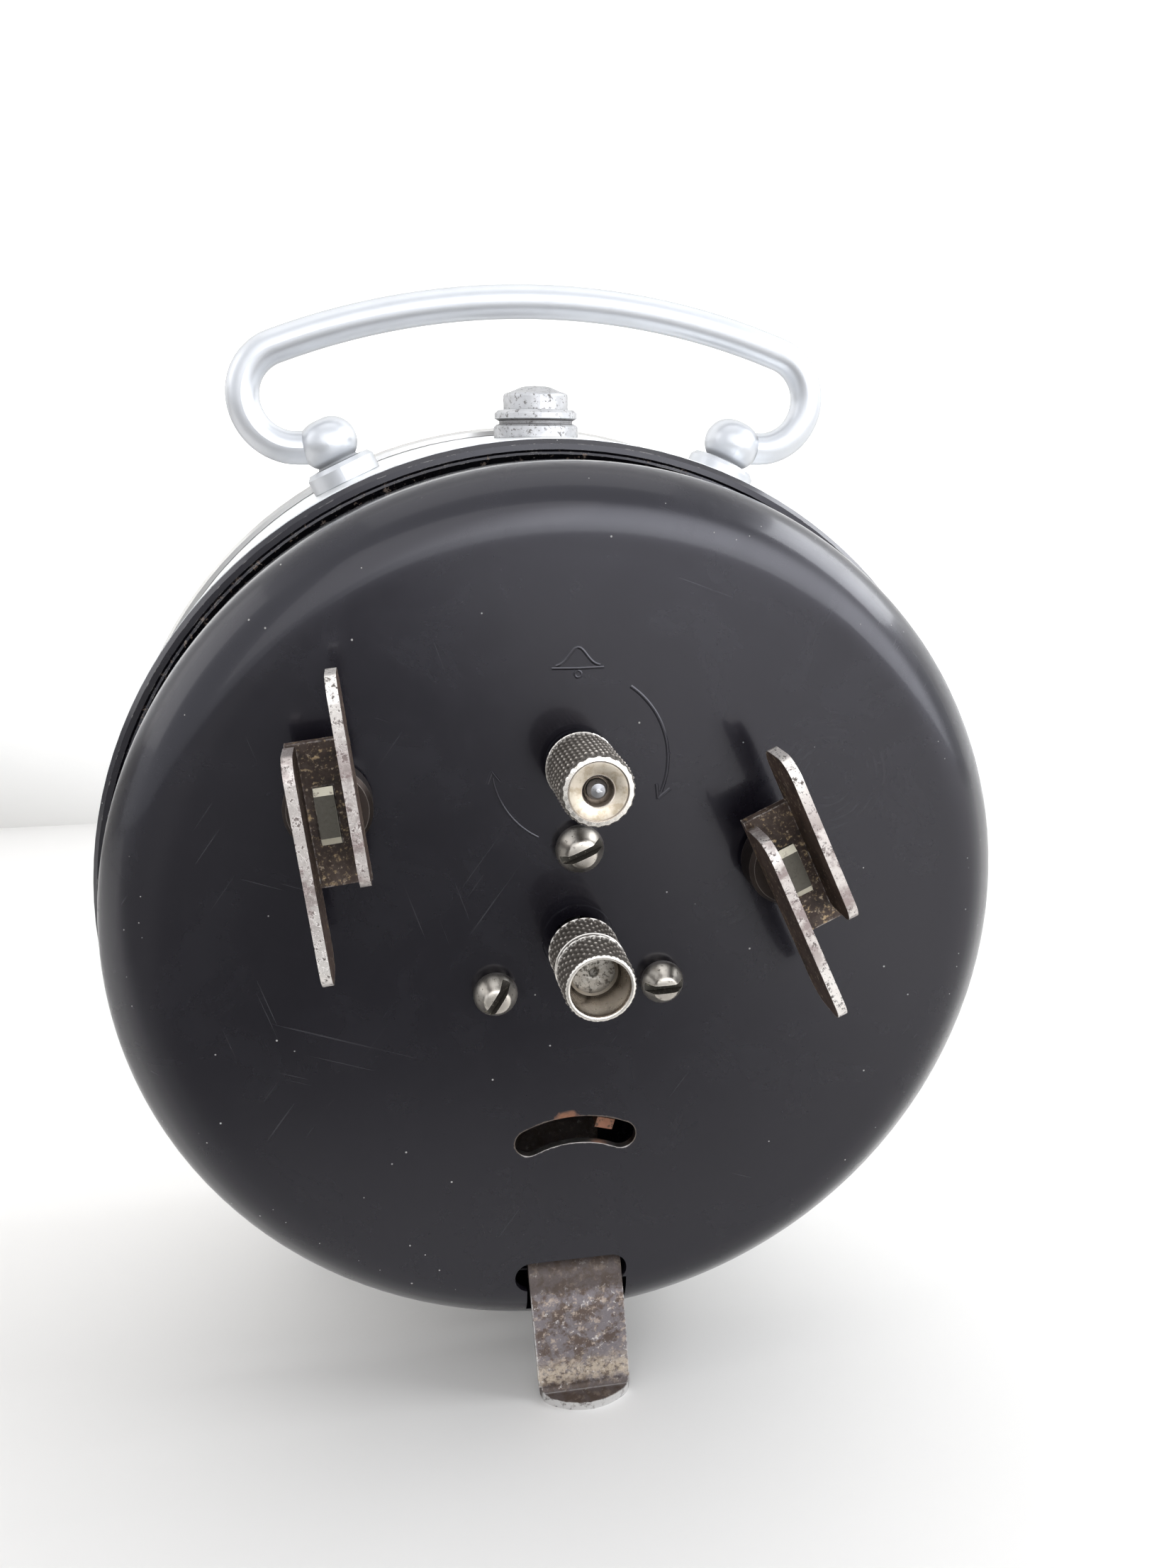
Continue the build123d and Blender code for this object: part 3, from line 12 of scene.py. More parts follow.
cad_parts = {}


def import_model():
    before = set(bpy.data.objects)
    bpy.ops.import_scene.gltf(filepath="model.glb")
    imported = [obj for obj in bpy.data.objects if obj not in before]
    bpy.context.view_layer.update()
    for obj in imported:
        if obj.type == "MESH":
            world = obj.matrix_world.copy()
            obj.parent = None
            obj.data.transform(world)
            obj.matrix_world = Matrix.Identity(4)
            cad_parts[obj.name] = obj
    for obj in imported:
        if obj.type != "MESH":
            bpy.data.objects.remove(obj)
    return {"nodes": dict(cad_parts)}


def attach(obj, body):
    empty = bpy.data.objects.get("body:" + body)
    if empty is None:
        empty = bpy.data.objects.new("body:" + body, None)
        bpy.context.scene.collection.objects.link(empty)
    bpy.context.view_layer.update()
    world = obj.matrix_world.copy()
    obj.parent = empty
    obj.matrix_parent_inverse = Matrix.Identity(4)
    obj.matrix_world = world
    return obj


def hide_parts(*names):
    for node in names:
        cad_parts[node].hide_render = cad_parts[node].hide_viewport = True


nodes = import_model()["nodes"]
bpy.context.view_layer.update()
random.seed(7)

# ------------------------------------------------------------------ driving sizes
# Lengths are in mm and y is counted from the handle posts' plane, unless a comment says metres.
MM = 0.001
POST_Y = -8.75                # the handle posts' plane in the frame
AXIS_Z = 58.5                 # height of the clock's axis
ALARM_Z = AXIS_Z + 19.6       # height of the alarm-setting axis
BACK_Y = 29.0                 # outer face of the bell
COLLAR_Y = 33.2               # outer face of the winding arbors' collars
KNOB_RADIUS = 3.75
DIAL_Y = -15.8                # face of the dial
ALARM_DIAL_Y = DIAL_Y + 0.2   # face of the small alarm dial

# winding keys: turn of the wings from upright in degrees, and the place of the axis
GOING_KEY = {"turn": 25.0, "x": -22.2, "z": AXIS_Z + 8.25}
ALARM_KEY = {"turn": 6.5, "x": 25.5, "z": AXIS_Z + 16.8}

# the regulator window: an arc-shaped slot with round ends, cut in the bell
WINDOW_X = 0.25               # centre of the arc
WINDOW_Z = AXIS_Z - 35.45
WINDOW_RADIUS = 12.3          # to the middle of the slot
WINDOW_HALF_WIDTH = 1.65
WINDOW_HALF_ANGLE = math.radians(25.5)


# ------------------------------------------------------------------ shader graph helpers
class Graph:
    """Short calls that add shader nodes to one node tree."""

    def __init__(self, tree):
        self.tree = tree

    def new(self, kind, **settings):
        node = self.tree.nodes.new("ShaderNode" + kind)
        for key, value in settings.items():
            setattr(node, key, value)
        return node

    def put(self, socket, value):
        """Link a socket, or store a plain value."""
        if hasattr(value, "is_linked"):
            self.tree.links.new(value, socket)
        else:
            socket.default_value = value

    def math(self, operation, *values):
        node = self.new("Math", operation=operation)
        for socket, value in zip(node.inputs, values):
            self.put(socket, value)
        return node.outputs[0]

    def fold(self, operation, values):
        result = values[0]
        for value in values[1:]:
            result = self.math(operation, result, value)
        return result

    def add(self, *values):
        return self.fold("ADD", values)

    def mul(self, *values):
        return self.fold("MULTIPLY", values)

    def most(self, *values):
        return self.fold("MAXIMUM", values)

    def sub(self, value, other):
        return self.math("SUBTRACT", value, other)

    def inverse(self, value):
        return self.sub(1.0, value)

    def weighted(self, start, *terms):
        """start plus each (value, weight) product."""
        return self.add(start, *[self.mul(value, weight) for value, weight in terms])

    def minus(self, start, value, weight):
        return self.sub(start, self.mul(value, weight))

    def step(self, value, zero, one):
        """Smooth ramp: 0 where value is at zero, 1 where it is at one."""
        node = self.new("MapRange", interpolation_type="SMOOTHSTEP")
        self.put(node.inputs[0], value)
        node.inputs[1].default_value = zero
        node.inputs[2].default_value = one
        return node.outputs[0]

    def xyz(self, vector):
        node = self.new("SeparateXYZ")
        self.put(node.inputs[0], vector)
        return node.outputs

    def dot(self, vector, other):
        node = self.new("VectorMath", operation="DOT_PRODUCT")
        self.put(node.inputs[0], vector)
        self.put(node.inputs[1], other)
        return node.outputs["Value"]


class Mat(Graph):
    """A material graph that works on the position in mm."""

    def __init__(self, name):
        self.data = bpy.data.materials.new(name)
        self.data.use_nodes = True
        super().__init__(self.data.node_tree)
        self.bsdf = self.tree.nodes["Principled BSDF"]
        coords = self.new("TexCoord")
        scaled = self.new("VectorMath", operation="MULTIPLY_ADD")
        scaled.inputs[1].default_value = (1000.0, 1000.0, 1000.0)
        scaled.inputs[2].default_value = (0.0, -POST_Y, 0.0)
        self.put(scaled.inputs[0], coords.outputs["Object"])
        self.position = scaled.outputs[0]

    def set(self, name, value):
        self.put(self.bsdf.inputs[name], value)

    def surface(self, color, rough, metallic):
        self.set("Base Color", color)
        self.set("Roughness", rough)
        self.set("Metallic", metallic)

    def source(self, name):
        """The socket that now feeds an input of the main shader."""
        return self.bsdf.inputs[name].links[0].from_socket

    def output(self):
        return [node for node in self.tree.nodes if node.type == "OUTPUT_MATERIAL"][0].inputs[0]

    def math(self, operation, *values):
        """As in Graph, with every input that is left over set to 0."""
        return super().math(operation, *values, *[0.0] * (3 - len(values)))

    def noise(self, scale, detail=4.0, rough=0.55, stretch=(1, 1, 1), shift=(0, 0, 0), warp=0.0,
              vector=None):
        mapping = self.new("Mapping")
        mapping.inputs["Scale"].default_value = stretch
        mapping.inputs["Location"].default_value = shift
        self.put(mapping.inputs[0], vector or self.position)
        node = self.new("TexNoise")
        self.put(node.inputs["Vector"], mapping.outputs[0])
        node.inputs["Scale"].default_value = scale
        node.inputs["Detail"].default_value = detail
        node.inputs["Roughness"].default_value = rough
        node.inputs["Distortion"].default_value = warp
        return node.outputs["Fac"]

    def voronoi(self, scale, shift, out="Distance"):
        mapping = self.new("Mapping")
        mapping.inputs["Location"].default_value = shift
        self.put(mapping.inputs[0], self.position)
        node = self.new("TexVoronoi")
        self.put(node.inputs["Vector"], mapping.outputs[0])
        node.inputs["Scale"].default_value = scale
        return node.outputs[out]

    def ramp(self, value, stops):
        """stops: (position, color)."""
        node = self.new("ValToRGB")
        elements = node.color_ramp.elements
        while len(elements) < len(stops):
            elements.new(0.5)
        for element, (position, color) in zip(elements, stops):
            element.position = position
            element.color = (*color, 1)
        self.put(node.inputs[0], value)
        return node.outputs[0]

    def mix(self, mask, under, over, amount=None):
        """Lay one color over another where the mask is 1; amount scales the mask."""
        if amount is not None:
            mask = self.mul(mask, amount)
        node = self.new("Mix", data_type="RGBA")
        self.put(node.inputs[0], mask)
        for socket, color in ((node.inputs[6], under), (node.inputs[7], over)):
            self.put(socket, (*color, 1) if isinstance(color, tuple) else color)
        return node.outputs[2]

    def blend(self, mask, under, over):
        """As mix, for single numbers."""
        node = self.new("Mix", data_type="FLOAT")
        for index, value in ((0, mask), (2, under), (3, over)):
            self.put(node.inputs[index], value)
        return node.outputs[0]

    def xyz(self, vector=None):
        return super().xyz(vector or self.position)

    def normal(self):
        return self.new("NewGeometry").outputs["Normal"]

    def facing_y(self):
        """1 on faces square to the y axis, 0 on faces along it."""
        return self.math("ABSOLUTE", self.xyz(self.normal())[1])

    def length(self, x, z):
        return self.math("SQRT", self.add(self.mul(x, x), self.mul(z, z)))

    def radius(self, x=0.0, z=AXIS_Z):
        """Distance from an axis along y."""
        here = self.xyz()
        return self.length(self.sub(here[0], x), self.sub(here[2], z))

    def bump(self, height, strength, depth):
        node = self.new("Bump")
        node.inputs["Strength"].default_value = strength
        node.inputs["Distance"].default_value = depth * MM
        self.put(node.inputs["Height"], height)
        self.set("Normal", node.outputs[0])

    def openness(self, reach):
        """Ambient occlusion: 1 in the open, lower in crevices."""
        node = self.new("AmbientOcclusion", samples=8, only_local=True)
        node.inputs["Distance"].default_value = reach * MM
        return node.outputs["AO"]

    def edge(self, width):
        """1 on edges, 0 on flats."""
        node = self.new("Bevel", samples=6)
        node.inputs[0].default_value = width * MM
        return self.step(self.dot(node.outputs[0], self.normal()), zero=0.985, one=0.86)


# ------------------------------------------------------------------ mesh helpers
def paint(obj, mat):
    obj.data.materials.clear()
    obj.data.materials.append(mat.data)


def smooth(obj, degrees):
    mesh = obj.data
    mesh.polygons.foreach_set("use_smooth", [True] * len(mesh.polygons))
    mesh.set_sharp_from_angle(angle=math.radians(degrees))
    mesh.update()


def bevel(obj, width, degrees, segments):
    modifier = obj.modifiers.new("edge", "BEVEL")
    modifier.width = width * MM
    modifier.segments = segments
    modifier.limit_method = "ANGLE"
    modifier.angle_limit = math.radians(degrees)
    modifier.use_clamp_overlap = True
    modifier.harden_normals = False


def turn_outward(mesh):
    edit = bmesh.new()
    edit.from_mesh(mesh)
    bmesh.ops.recalc_face_normals(edit, faces=edit.faces)
    edit.to_mesh(mesh)
    edit.free()


def link_object(name, data):
    obj = bpy.data.objects.new(name, data)
    bpy.context.scene.collection.objects.link(obj)
    return obj


def mesh_object(name, verts, faces, body, mat, smooth_degrees=None):
    mesh = bpy.data.meshes.new(name)
    mesh.from_pydata([(x * MM, (y + POST_Y) * MM, z * MM) for x, y, z in verts], [], faces)
    mesh.validate()
    turn_outward(mesh)
    mesh.update()
    obj = link_object(name, mesh)
    if smooth_degrees:
        smooth(obj, smooth_degrees)
    paint(obj, mat)
    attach(obj, body)
    return obj


def tube_faces(rings, sides, closed=False):
    """Quads between rings of vertices; closed joins the last ring to the first."""
    faces = []
    for ring in range(rings if closed else rings - 1):
        start = ring * sides
        following = (ring + 1) % rings * sides
        for i in range(sides):
            j = (i + 1) % sides
            faces.append((start + i, start + j, following + j, following + i))
    return faces


# ------------------------------------------------------------------ black lacquer
def scratches(mat):
    """Thin scratches in three directions, broken up by a slow noise."""
    lines = []
    # rotation about y in radians, and the noise level where a line begins
    for i, (rotation, level) in enumerate(((0.35, 0.705), (1.25, 0.715), (2.2, 0.71))):
        turned = mat.new("Mapping")
        turned.inputs["Rotation"].default_value = (0, rotation, 0)
        mat.put(turned.inputs[0], mat.position)
        fibre = mat.noise(scale=0.9, detail=2, rough=0.4, stretch=(0.035, 1, 2.6),
                          shift=(i * 7.3, 0, i * 3.1), vector=turned.outputs[0])
        patch = mat.noise(scale=0.07, detail=2, rough=0.5, shift=(i * 11.0, 4, 2))
        gate = mat.step(patch, zero=0.585, one=0.67)
        lines.append(mat.mul(mat.step(fibre, zero=level, one=level + 0.012), gate))
    return mat.most(*lines)


def dust_specks(mat, scale, shift, channel, chosen, spot):
    """Small round specks in a few voronoi cells, picked by one channel of the cell color."""
    cell = mat.voronoi(scale, shift, out="Color")
    picked = mat.step(mat.xyz(cell)[channel], **chosen)
    return mat.mul(picked, mat.step(mat.voronoi(scale, shift), **spot))


def lacquer(mat):
    """The lacquer common to bell and cover; returns its color and roughness."""
    cloud = mat.noise(scale=0.045, detail=3, rough=0.5)
    fine = mat.noise(scale=1.6, detail=5, rough=0.6)
    color = mat.mix(cloud, under=(0.0040, 0.0034, 0.0056), over=(0.0062, 0.0054, 0.0088))
    scratch = scratches(mat)
    smudge = mat.noise(scale=0.11, detail=5, rough=0.65, shift=(3, 9, 1), warp=0.6)
    smudge = mat.step(smudge, zero=0.38, one=0.72)
    dust = mat.most(
        dust_specks(mat, scale=0.62, shift=(0, 0, 0), channel=0,
                    chosen={"zero": 0.90, "one": 0.905}, spot={"zero": 0.085, "one": 0.045}),
        dust_specks(mat, scale=1.7, shift=(5, 0, 3), channel=1,
                    chosen={"zero": 0.955, "one": 0.957}, spot={"zero": 0.14, "one": 0.07}))
    color = mat.mix(scratch, color, over=(0.10, 0.10, 0.105), amount=0.22)
    color = mat.mix(dust, color, over=(0.55, 0.54, 0.52), amount=0.75)
    rough = mat.weighted(0.215, (smudge, 0.075), (fine, 0.03), (scratch, 0.12), (dust, 0.5))
    ripple = mat.noise(scale=0.35, detail=2)
    height = mat.add(mat.mul(fine, 0.5), mat.mul(ripple, 1.2))
    mat.bump(mat.minus(height, scratch, weight=0.3), strength=0.10, depth=0.03)
    mat.set("Specular Tint", (0.97, 0.95, 1.05, 1.0))
    mat.set("Specular IOR Level", 0.40)
    mat.set("Coat Weight", 0.32)
    mat.set("Coat Roughness", 0.085)
    return color, rough


def outside_window(mat):
    """Signed distance outside the regulator window's edge."""
    here = mat.xyz()
    x = mat.sub(here[0], WINDOW_X)
    z = mat.sub(here[2], WINDOW_Z)
    angle = mat.most(mat.math("ARCTAN2", x, z), -WINDOW_HALF_ANGLE)
    angle = mat.math("MINIMUM", angle, WINDOW_HALF_ANGLE)
    middle_x = mat.mul(mat.math("SINE", angle), WINDOW_RADIUS)
    middle_z = mat.mul(mat.math("COSINE", angle), WINDOW_RADIUS)
    reach = mat.length(mat.sub(x, middle_x), mat.sub(z, middle_z))
    return mat.sub(reach, WINDOW_HALF_WIDTH)


def bell_lacquer():
    mat = Mat("black_lacquer_bell")
    color, rough = lacquer(mat)

    # bare metal in a ragged line round the window, on the bell's outer face only
    outside = outside_window(mat)
    ragged = mat.sub(mat.mul(mat.noise(scale=1.1, detail=5, rough=0.7), 0.50), 0.15)
    worn = mat.step(mat.sub(outside, ragged), zero=0.06, one=-0.06)
    y = mat.xyz()[1]
    worn = mat.mul(worn, mat.step(y, zero=BACK_Y - 2.2, one=BACK_Y - 1.6))
    bare = mat.mix(mat.noise(scale=2.5, detail=4, rough=0.7),
                   under=(0.10, 0.075, 0.062), over=(0.22, 0.19, 0.17))
    pale = mat.mix(mat.noise(scale=1.2, detail=4, rough=0.7),
                   under=(0.32, 0.30, 0.29), over=(0.80, 0.78, 0.75))
    lower_edge = mat.step(mat.radius(WINDOW_X, WINDOW_Z), zero=12.2, one=10.9)
    color = mat.mix(worn, color, over=mat.mix(lower_edge, bare, over=pale))

    # rust bloom at the window's upper edge
    from_bloom = mat.radius(x=1.2, z=AXIS_Z - 21.9)
    ragged = mat.noise(scale=1.4, detail=5, rough=0.7, shift=(9, 1, 1))
    rust = mat.step(mat.minus(from_bloom, ragged, weight=2.4), zero=0.5, one=-0.5)
    rust = mat.mul(rust, mat.step(outside, zero=0.95, one=0.5))
    rust_color = mat.mix(mat.noise(scale=3.0, detail=4),
                         under=(0.13, 0.05, 0.025), over=(0.36, 0.17, 0.09))
    color = mat.mix(rust, color, over=rust_color)
    rough = mat.blend(worn, rough, over=0.36)
    rough = mat.blend(rust, rough, over=0.8)
    metallic = mat.mul(worn, mat.inverse(rust))

    # buffed rings beside the going key
    from_swirl = mat.radius(x=-27.5, z=AXIS_Z + 16.5)
    rings = mat.math("SINE", mat.mul(from_swirl, 7.0))
    gate = mat.mul(mat.step(from_swirl, zero=9.5, one=5.0), mat.step(from_swirl, zero=0.8, one=2.4))
    patch = mat.noise(scale=0.25, detail=3, rough=0.6, shift=(7, 7, 7))
    swirl = mat.mul(mat.mul(mat.step(rings, zero=0.2, one=0.95), gate),
                    mat.step(patch, zero=0.42, one=0.62))
    rough = mat.weighted(rough, (swirl, 0.05))
    color = mat.mix(swirl, color, over=(0.10, 0.10, 0.105), amount=0.05)

    # chips along the open front edge
    chip = mat.noise(scale=1.5, detail=5, rough=0.7, shift=(2, 2, 7))
    chip = mat.step(chip, zero=0.60, one=0.66)
    lip = mat.mul(mat.step(y, zero=18.95, one=18.55), chip)
    color = mat.mix(lip, color, over=(0.45, 0.42, 0.38))
    mat.surface(color, rough, metallic)
    return mat


def cover_lacquer():
    mat = Mat("black_lacquer_cover")
    color, rough = lacquer(mat)

    # chipped ring near the rim
    radius = mat.radius()
    chip = mat.noise(scale=1.3, detail=6, rough=0.72, shift=(1, 8, 2))
    chip = mat.step(chip, zero=0.585, one=0.64)
    band = mat.mul(mat.step(radius, zero=49.4, one=49.9), mat.step(radius, zero=51.0, one=50.6))
    spots = mat.mul(band, chip)
    chip_color = mat.mix(mat.noise(scale=2.2, detail=3),
                         under=(0.30, 0.13, 0.06), over=(0.72, 0.66, 0.58))
    color = mat.mix(spots, color, over=chip_color)
    rough = mat.blend(spots, rough, over=0.75)

    # painted shade: darker on the inner part of the rim; rubbed along the edges
    inside = mat.step(radius, zero=50.9, one=50.6)
    color = mat.mix(inside, color, over=(0.004, 0.004, 0.005), amount=0.5)
    patch = mat.step(mat.noise(scale=0.8, detail=5, rough=0.7), zero=0.52, one=0.62)
    color = mat.mix(mat.mul(mat.edge(width=0.2), patch), color, over=(0.5, 0.48, 0.45))
    mat.surface(color, rough, metallic=0.0)
    return mat


# ------------------------------------------------------------------ metals
def metal(name, tint, rough, grain=(1, 1, 1), grain_amount=0.1, dirt=0.0, dirt_reach=0.6,
          dirt_color=(0.03, 0.022, 0.015), specks=0.0, edge_wear=False, tarnish=0.15, bump=0.12,
          slant_shade=0.0):
    """Aged metal.

    grain stretches the fine noise; dirt_reach is the crevice size in mm; specks lowers the noise
    level where pits begin; slant_shade paints shade on faces seen at a slant.
    """
    mat = Mat(name)
    slow = mat.noise(scale=0.22, detail=4, rough=0.6)
    fine = mat.noise(scale=4.0, detail=4, rough=0.6, stretch=grain)
    shade = 0.82 if tarnish > 0.05 else 0.97
    dark = tuple(channel * (1 - tarnish) * shade for channel in tint)
    color = mat.mix(mat.step(slow, zero=0.35, one=0.72), tint, dark)
    roughness = mat.weighted(rough - grain_amount / 2, (fine, grain_amount), (slow, 0.08))
    if specks:
        pit = mat.noise(scale=2.0, detail=6, rough=0.75, shift=(4, 4, 1))
        pit = mat.step(pit, zero=0.60 - specks * 0.06, one=0.68 - specks * 0.06)
        color = mat.mix(pit, color, over=(0.10, 0.085, 0.07), amount=0.75)
        roughness = mat.weighted(roughness, (pit, 0.3))
    if dirt:
        grime = mat.mul(mat.step(mat.openness(dirt_reach), zero=0.92, one=0.45), dirt)
        color = mat.mix(grime, color, over=dirt_color)
        roughness = mat.blend(grime, roughness, over=0.75)
    if edge_wear:
        bright = tuple(min(1, channel * 1.35) for channel in tint)
        color = mat.mix(mat.edge(width=0.15), color, over=bright, amount=0.7)
    if slant_shade:
        # painted shade: faces seen at a slant are coloured darker
        weight = mat.new("LayerWeight")
        weight.inputs[0].default_value = 0.5
        slant = mat.step(weight.outputs["Facing"], zero=0.45, one=0.92)
        slant_shade_color = tuple(channel * 0.42 for channel in tint)
        color = mat.mix(slant, color, over=slant_shade_color, amount=slant_shade)
    mat.surface(color, roughness, metallic=0.65 if slant_shade else 1.0)
    mat.bump(mat.weighted(fine, (slow, 0.6)), strength=bump, depth=0.05)
    return mat


def screw_nickel():
    """Aged nickel with dirt packed in the screw slots."""
    mat = metal("nickel_screw", (0.60, 0.56, 0.50), rough=0.30, grain_amount=0.14, specks=0.6,
                dirt=0.9, dirt_reach=0.9, tarnish=0.3, bump=0.25, edge_wear=True)
    y = mat.xyz()[1]
    facing = mat.facing_y()
    slot_floor = mat.mul(mat.step(facing, zero=0.92, one=0.98), mat.step(y, zero=31.25, one=31.1))
    slot_wall = mat.mul(mat.step(facing, zero=0.26, one=0.12), mat.step(y, zero=30.72, one=30.95))
    slot = mat.most(slot_floor, slot_wall)
    bits = mat.step(mat.noise(scale=3.2, detail=5, rough=0.75), zero=0.56, one=0.66)
    dirt = mat.mix(bits, under=(0.018, 0.014, 0.009), over=(0.22, 0.20, 0.15))
    mat.surface(mat.mix(slot, mat.source("Base Color"), over=dirt, amount=0.93),
                mat.blend(slot, mat.source("Roughness"), over=0.7),
                mat.minus(1.0, slot, weight=0.8))
    return mat


def key_steel(name, turn, x, z):
    """Browned steel key: the wings' cut edges are worn bright, their faces stay brown."""
    mat = Mat(name)
    big = mat.noise(scale=0.42, detail=6, rough=0.66, warp=0.4)
    mid = mat.noise(scale=1.5, detail=6, rough=0.7, shift=(3, 1, 5))
    small = mat.noise(scale=5.5, detail=4, rough=0.7)
    rust = mat.ramp(big, [
        (0.30, (0.0104, 0.00624, 0.00416)), (0.48, (0.039, 0.0208, 0.01352)),
        (0.62, (0.0676, 0.0442, 0.0338)), (0.80, (0.1248, 0.0988, 0.0832))])
    flakes = mat.step(mid, zero=0.5792, one=0.6792)
    flake_color = mat.mix(small, under=(0.30, 0.20, 0.12), over=(0.62, 0.54, 0.42))
    color = mat.mix(flakes, rust, over=flake_color)
    metallic = mat.mul(flakes, 0.8)
    rough = mat.minus(0.62, flakes, weight=0.25)

    y = mat.xyz()[1]
    turn = math.radians(turn)
    across = mat.dot(mat.normal(), (-math.cos(turn), 0, math.sin(turn)))
    cut = mat.mul(mat.step(mat.math("ABSOLUTE", across), zero=0.80, one=0.45),
                  mat.step(y, zero=COLLAR_Y + 1.6, one=COLLAR_Y + 2.6))

    # rubbed whitest towards the wings' ends, tarnished in the middle
    patch = mat.noise(scale=0.28, detail=5, rough=0.65, shift=(6, 2, 9))
    patch = mat.step(patch, zero=0.60, one=0.44)
    here = mat.xyz()
    along = mat.add(mat.mul(mat.sub(here[0], x), math.sin(turn)),
                    mat.mul(mat.sub(here[2], z), math.cos(turn)))
    far = mat.step(mat.math("ABSOLUTE", along), zero=3.0, one=12.5)
    wear = mat.weighted(0.12, (mat.most(patch, far), 0.88))
    wear = mat.mul(wear, mat.weighted(0.72, (far, 0.28)))
    pits = mat.most(
        mat.step(mat.noise(scale=1.6, detail=6, rough=0.78, shift=(8, 2, 2)), zero=0.53, one=0.60),
        mat.step(mat.noise(scale=4.4, detail=3, rough=0.6), zero=0.62, one=0.68))
    bright = mat.mix(mat.noise(scale=0.5, detail=3, rough=0.5),
                     under=(0.94, 0.90, 0.85), over=(0.72, 0.67, 0.64))
    bright = mat.mix(pits, bright, over=(0.05, 0.036, 0.028), amount=0.9)
    bright = mat.mix(mat.inverse(wear), bright, over=(0.30, 0.235, 0.225))
    wear_and_sheen = mat.mul(mat.edge(width=0.3), mat.step(mid, zero=0.42, one=0.58))
    shine = mat.most(cut, mat.mul(wear_and_sheen, 0.75))

    # golden flecks near the collar
    gold = mat.noise(scale=1.5, detail=6, rough=0.8, shift=(5, 5, 0))
    gold = mat.mul(mat.step(y, zero=COLLAR_Y + 2.4, one=COLLAR_Y + 1.2),
                   mat.step(gold, zero=0.545, one=0.64))
    gold_color = mat.mix(small, under=(0.42, 0.27, 0.13), over=(0.70, 0.58, 0.38))
    color = mat.mix(gold, color, over=gold_color, amount=0.85)
    mat.surface(
        mat.mix(shine, color, over=bright),
        mat.blend(shine, rough, over=mat.weighted(0.28, (pits, 0.4))),
        mat.blend(shine, mat.most(metallic, gold), over=mat.minus(0.55, pits, weight=0.4)))
    height = mat.minus(mat.mul(mid, 0.7), mat.mul(pits, cut), weight=0.8)
    mat.bump(mat.weighted(height, (small, 0.4)), strength=0.35, depth=0.08)
    return mat


def arbor_steel(name, turn):
    """Squared arbor end: drab olive top, filed end facets coloured bright as a painted highlight,
    brown collar with a worn rim.
    """
    mat = Mat(name)
    y = mat.xyz()[1]
    turn = math.radians(turn)
    along = mat.dot(mat.normal(), (math.sin(turn), 0, math.cos(turn)))
    top = mat.step(y, zero=COLLAR_Y + 0.2, one=COLLAR_Y + 0.4)
    # painted highlight: the filed end facets, picked by their slant along the key, are coloured
    # bright
    facet_highlight = mat.mul(mat.step(mat.math("ABSOLUTE", along), zero=0.25, one=0.42),
                    mat.step(y, zero=COLLAR_Y + 1.2, one=COLLAR_Y + 1.35))
    slow = mat.noise(scale=0.5, detail=4, rough=0.6)
    fine = mat.noise(scale=2.6, detail=5, rough=0.65)
    spot = mat.noise(scale=1.3, detail=5, rough=0.75, shift=(4, 1, 8))
    spot = mat.step(spot, zero=0.56, one=0.66)
    collar = mat.mix(slow, under=(0.026, 0.019, 0.016), over=(0.062, 0.048, 0.042))
    collar = mat.mix(mat.edge(width=0.14), collar, over=(0.50, 0.45, 0.41), amount=0.7)
    tenon = mat.mix(fine, under=(0.088, 0.080, 0.066), over=(0.155, 0.145, 0.122))
    tenon = mat.mix(spot, tenon, over=(0.06, 0.055, 0.045), amount=0.5)
    wear_and_sheen = mat.mul(mat.edge(width=0.12), mat.step(slow, zero=0.40, one=0.55))
    tenon = mat.mix(wear_and_sheen, tenon, over=(0.55, 0.52, 0.44), amount=0.6)
    # painted highlight colour for the end facets, with darker spots
    facet_highlight_color = mat.mix(spot, under=(0.66, 0.62, 0.50), over=(0.30, 0.25, 0.20))
    tenon = mat.mix(facet_highlight, tenon, over=facet_highlight_color)
    mat.surface(mat.mix(top, collar, over=tenon), mat.weighted(0.36, (fine, 0.16)),
                mat.blend(facet_highlight, under=0.85, over=0.55))
    mat.bump(mat.weighted(fine, (slow, 0.6)), strength=0.25, depth=0.05)
    return mat


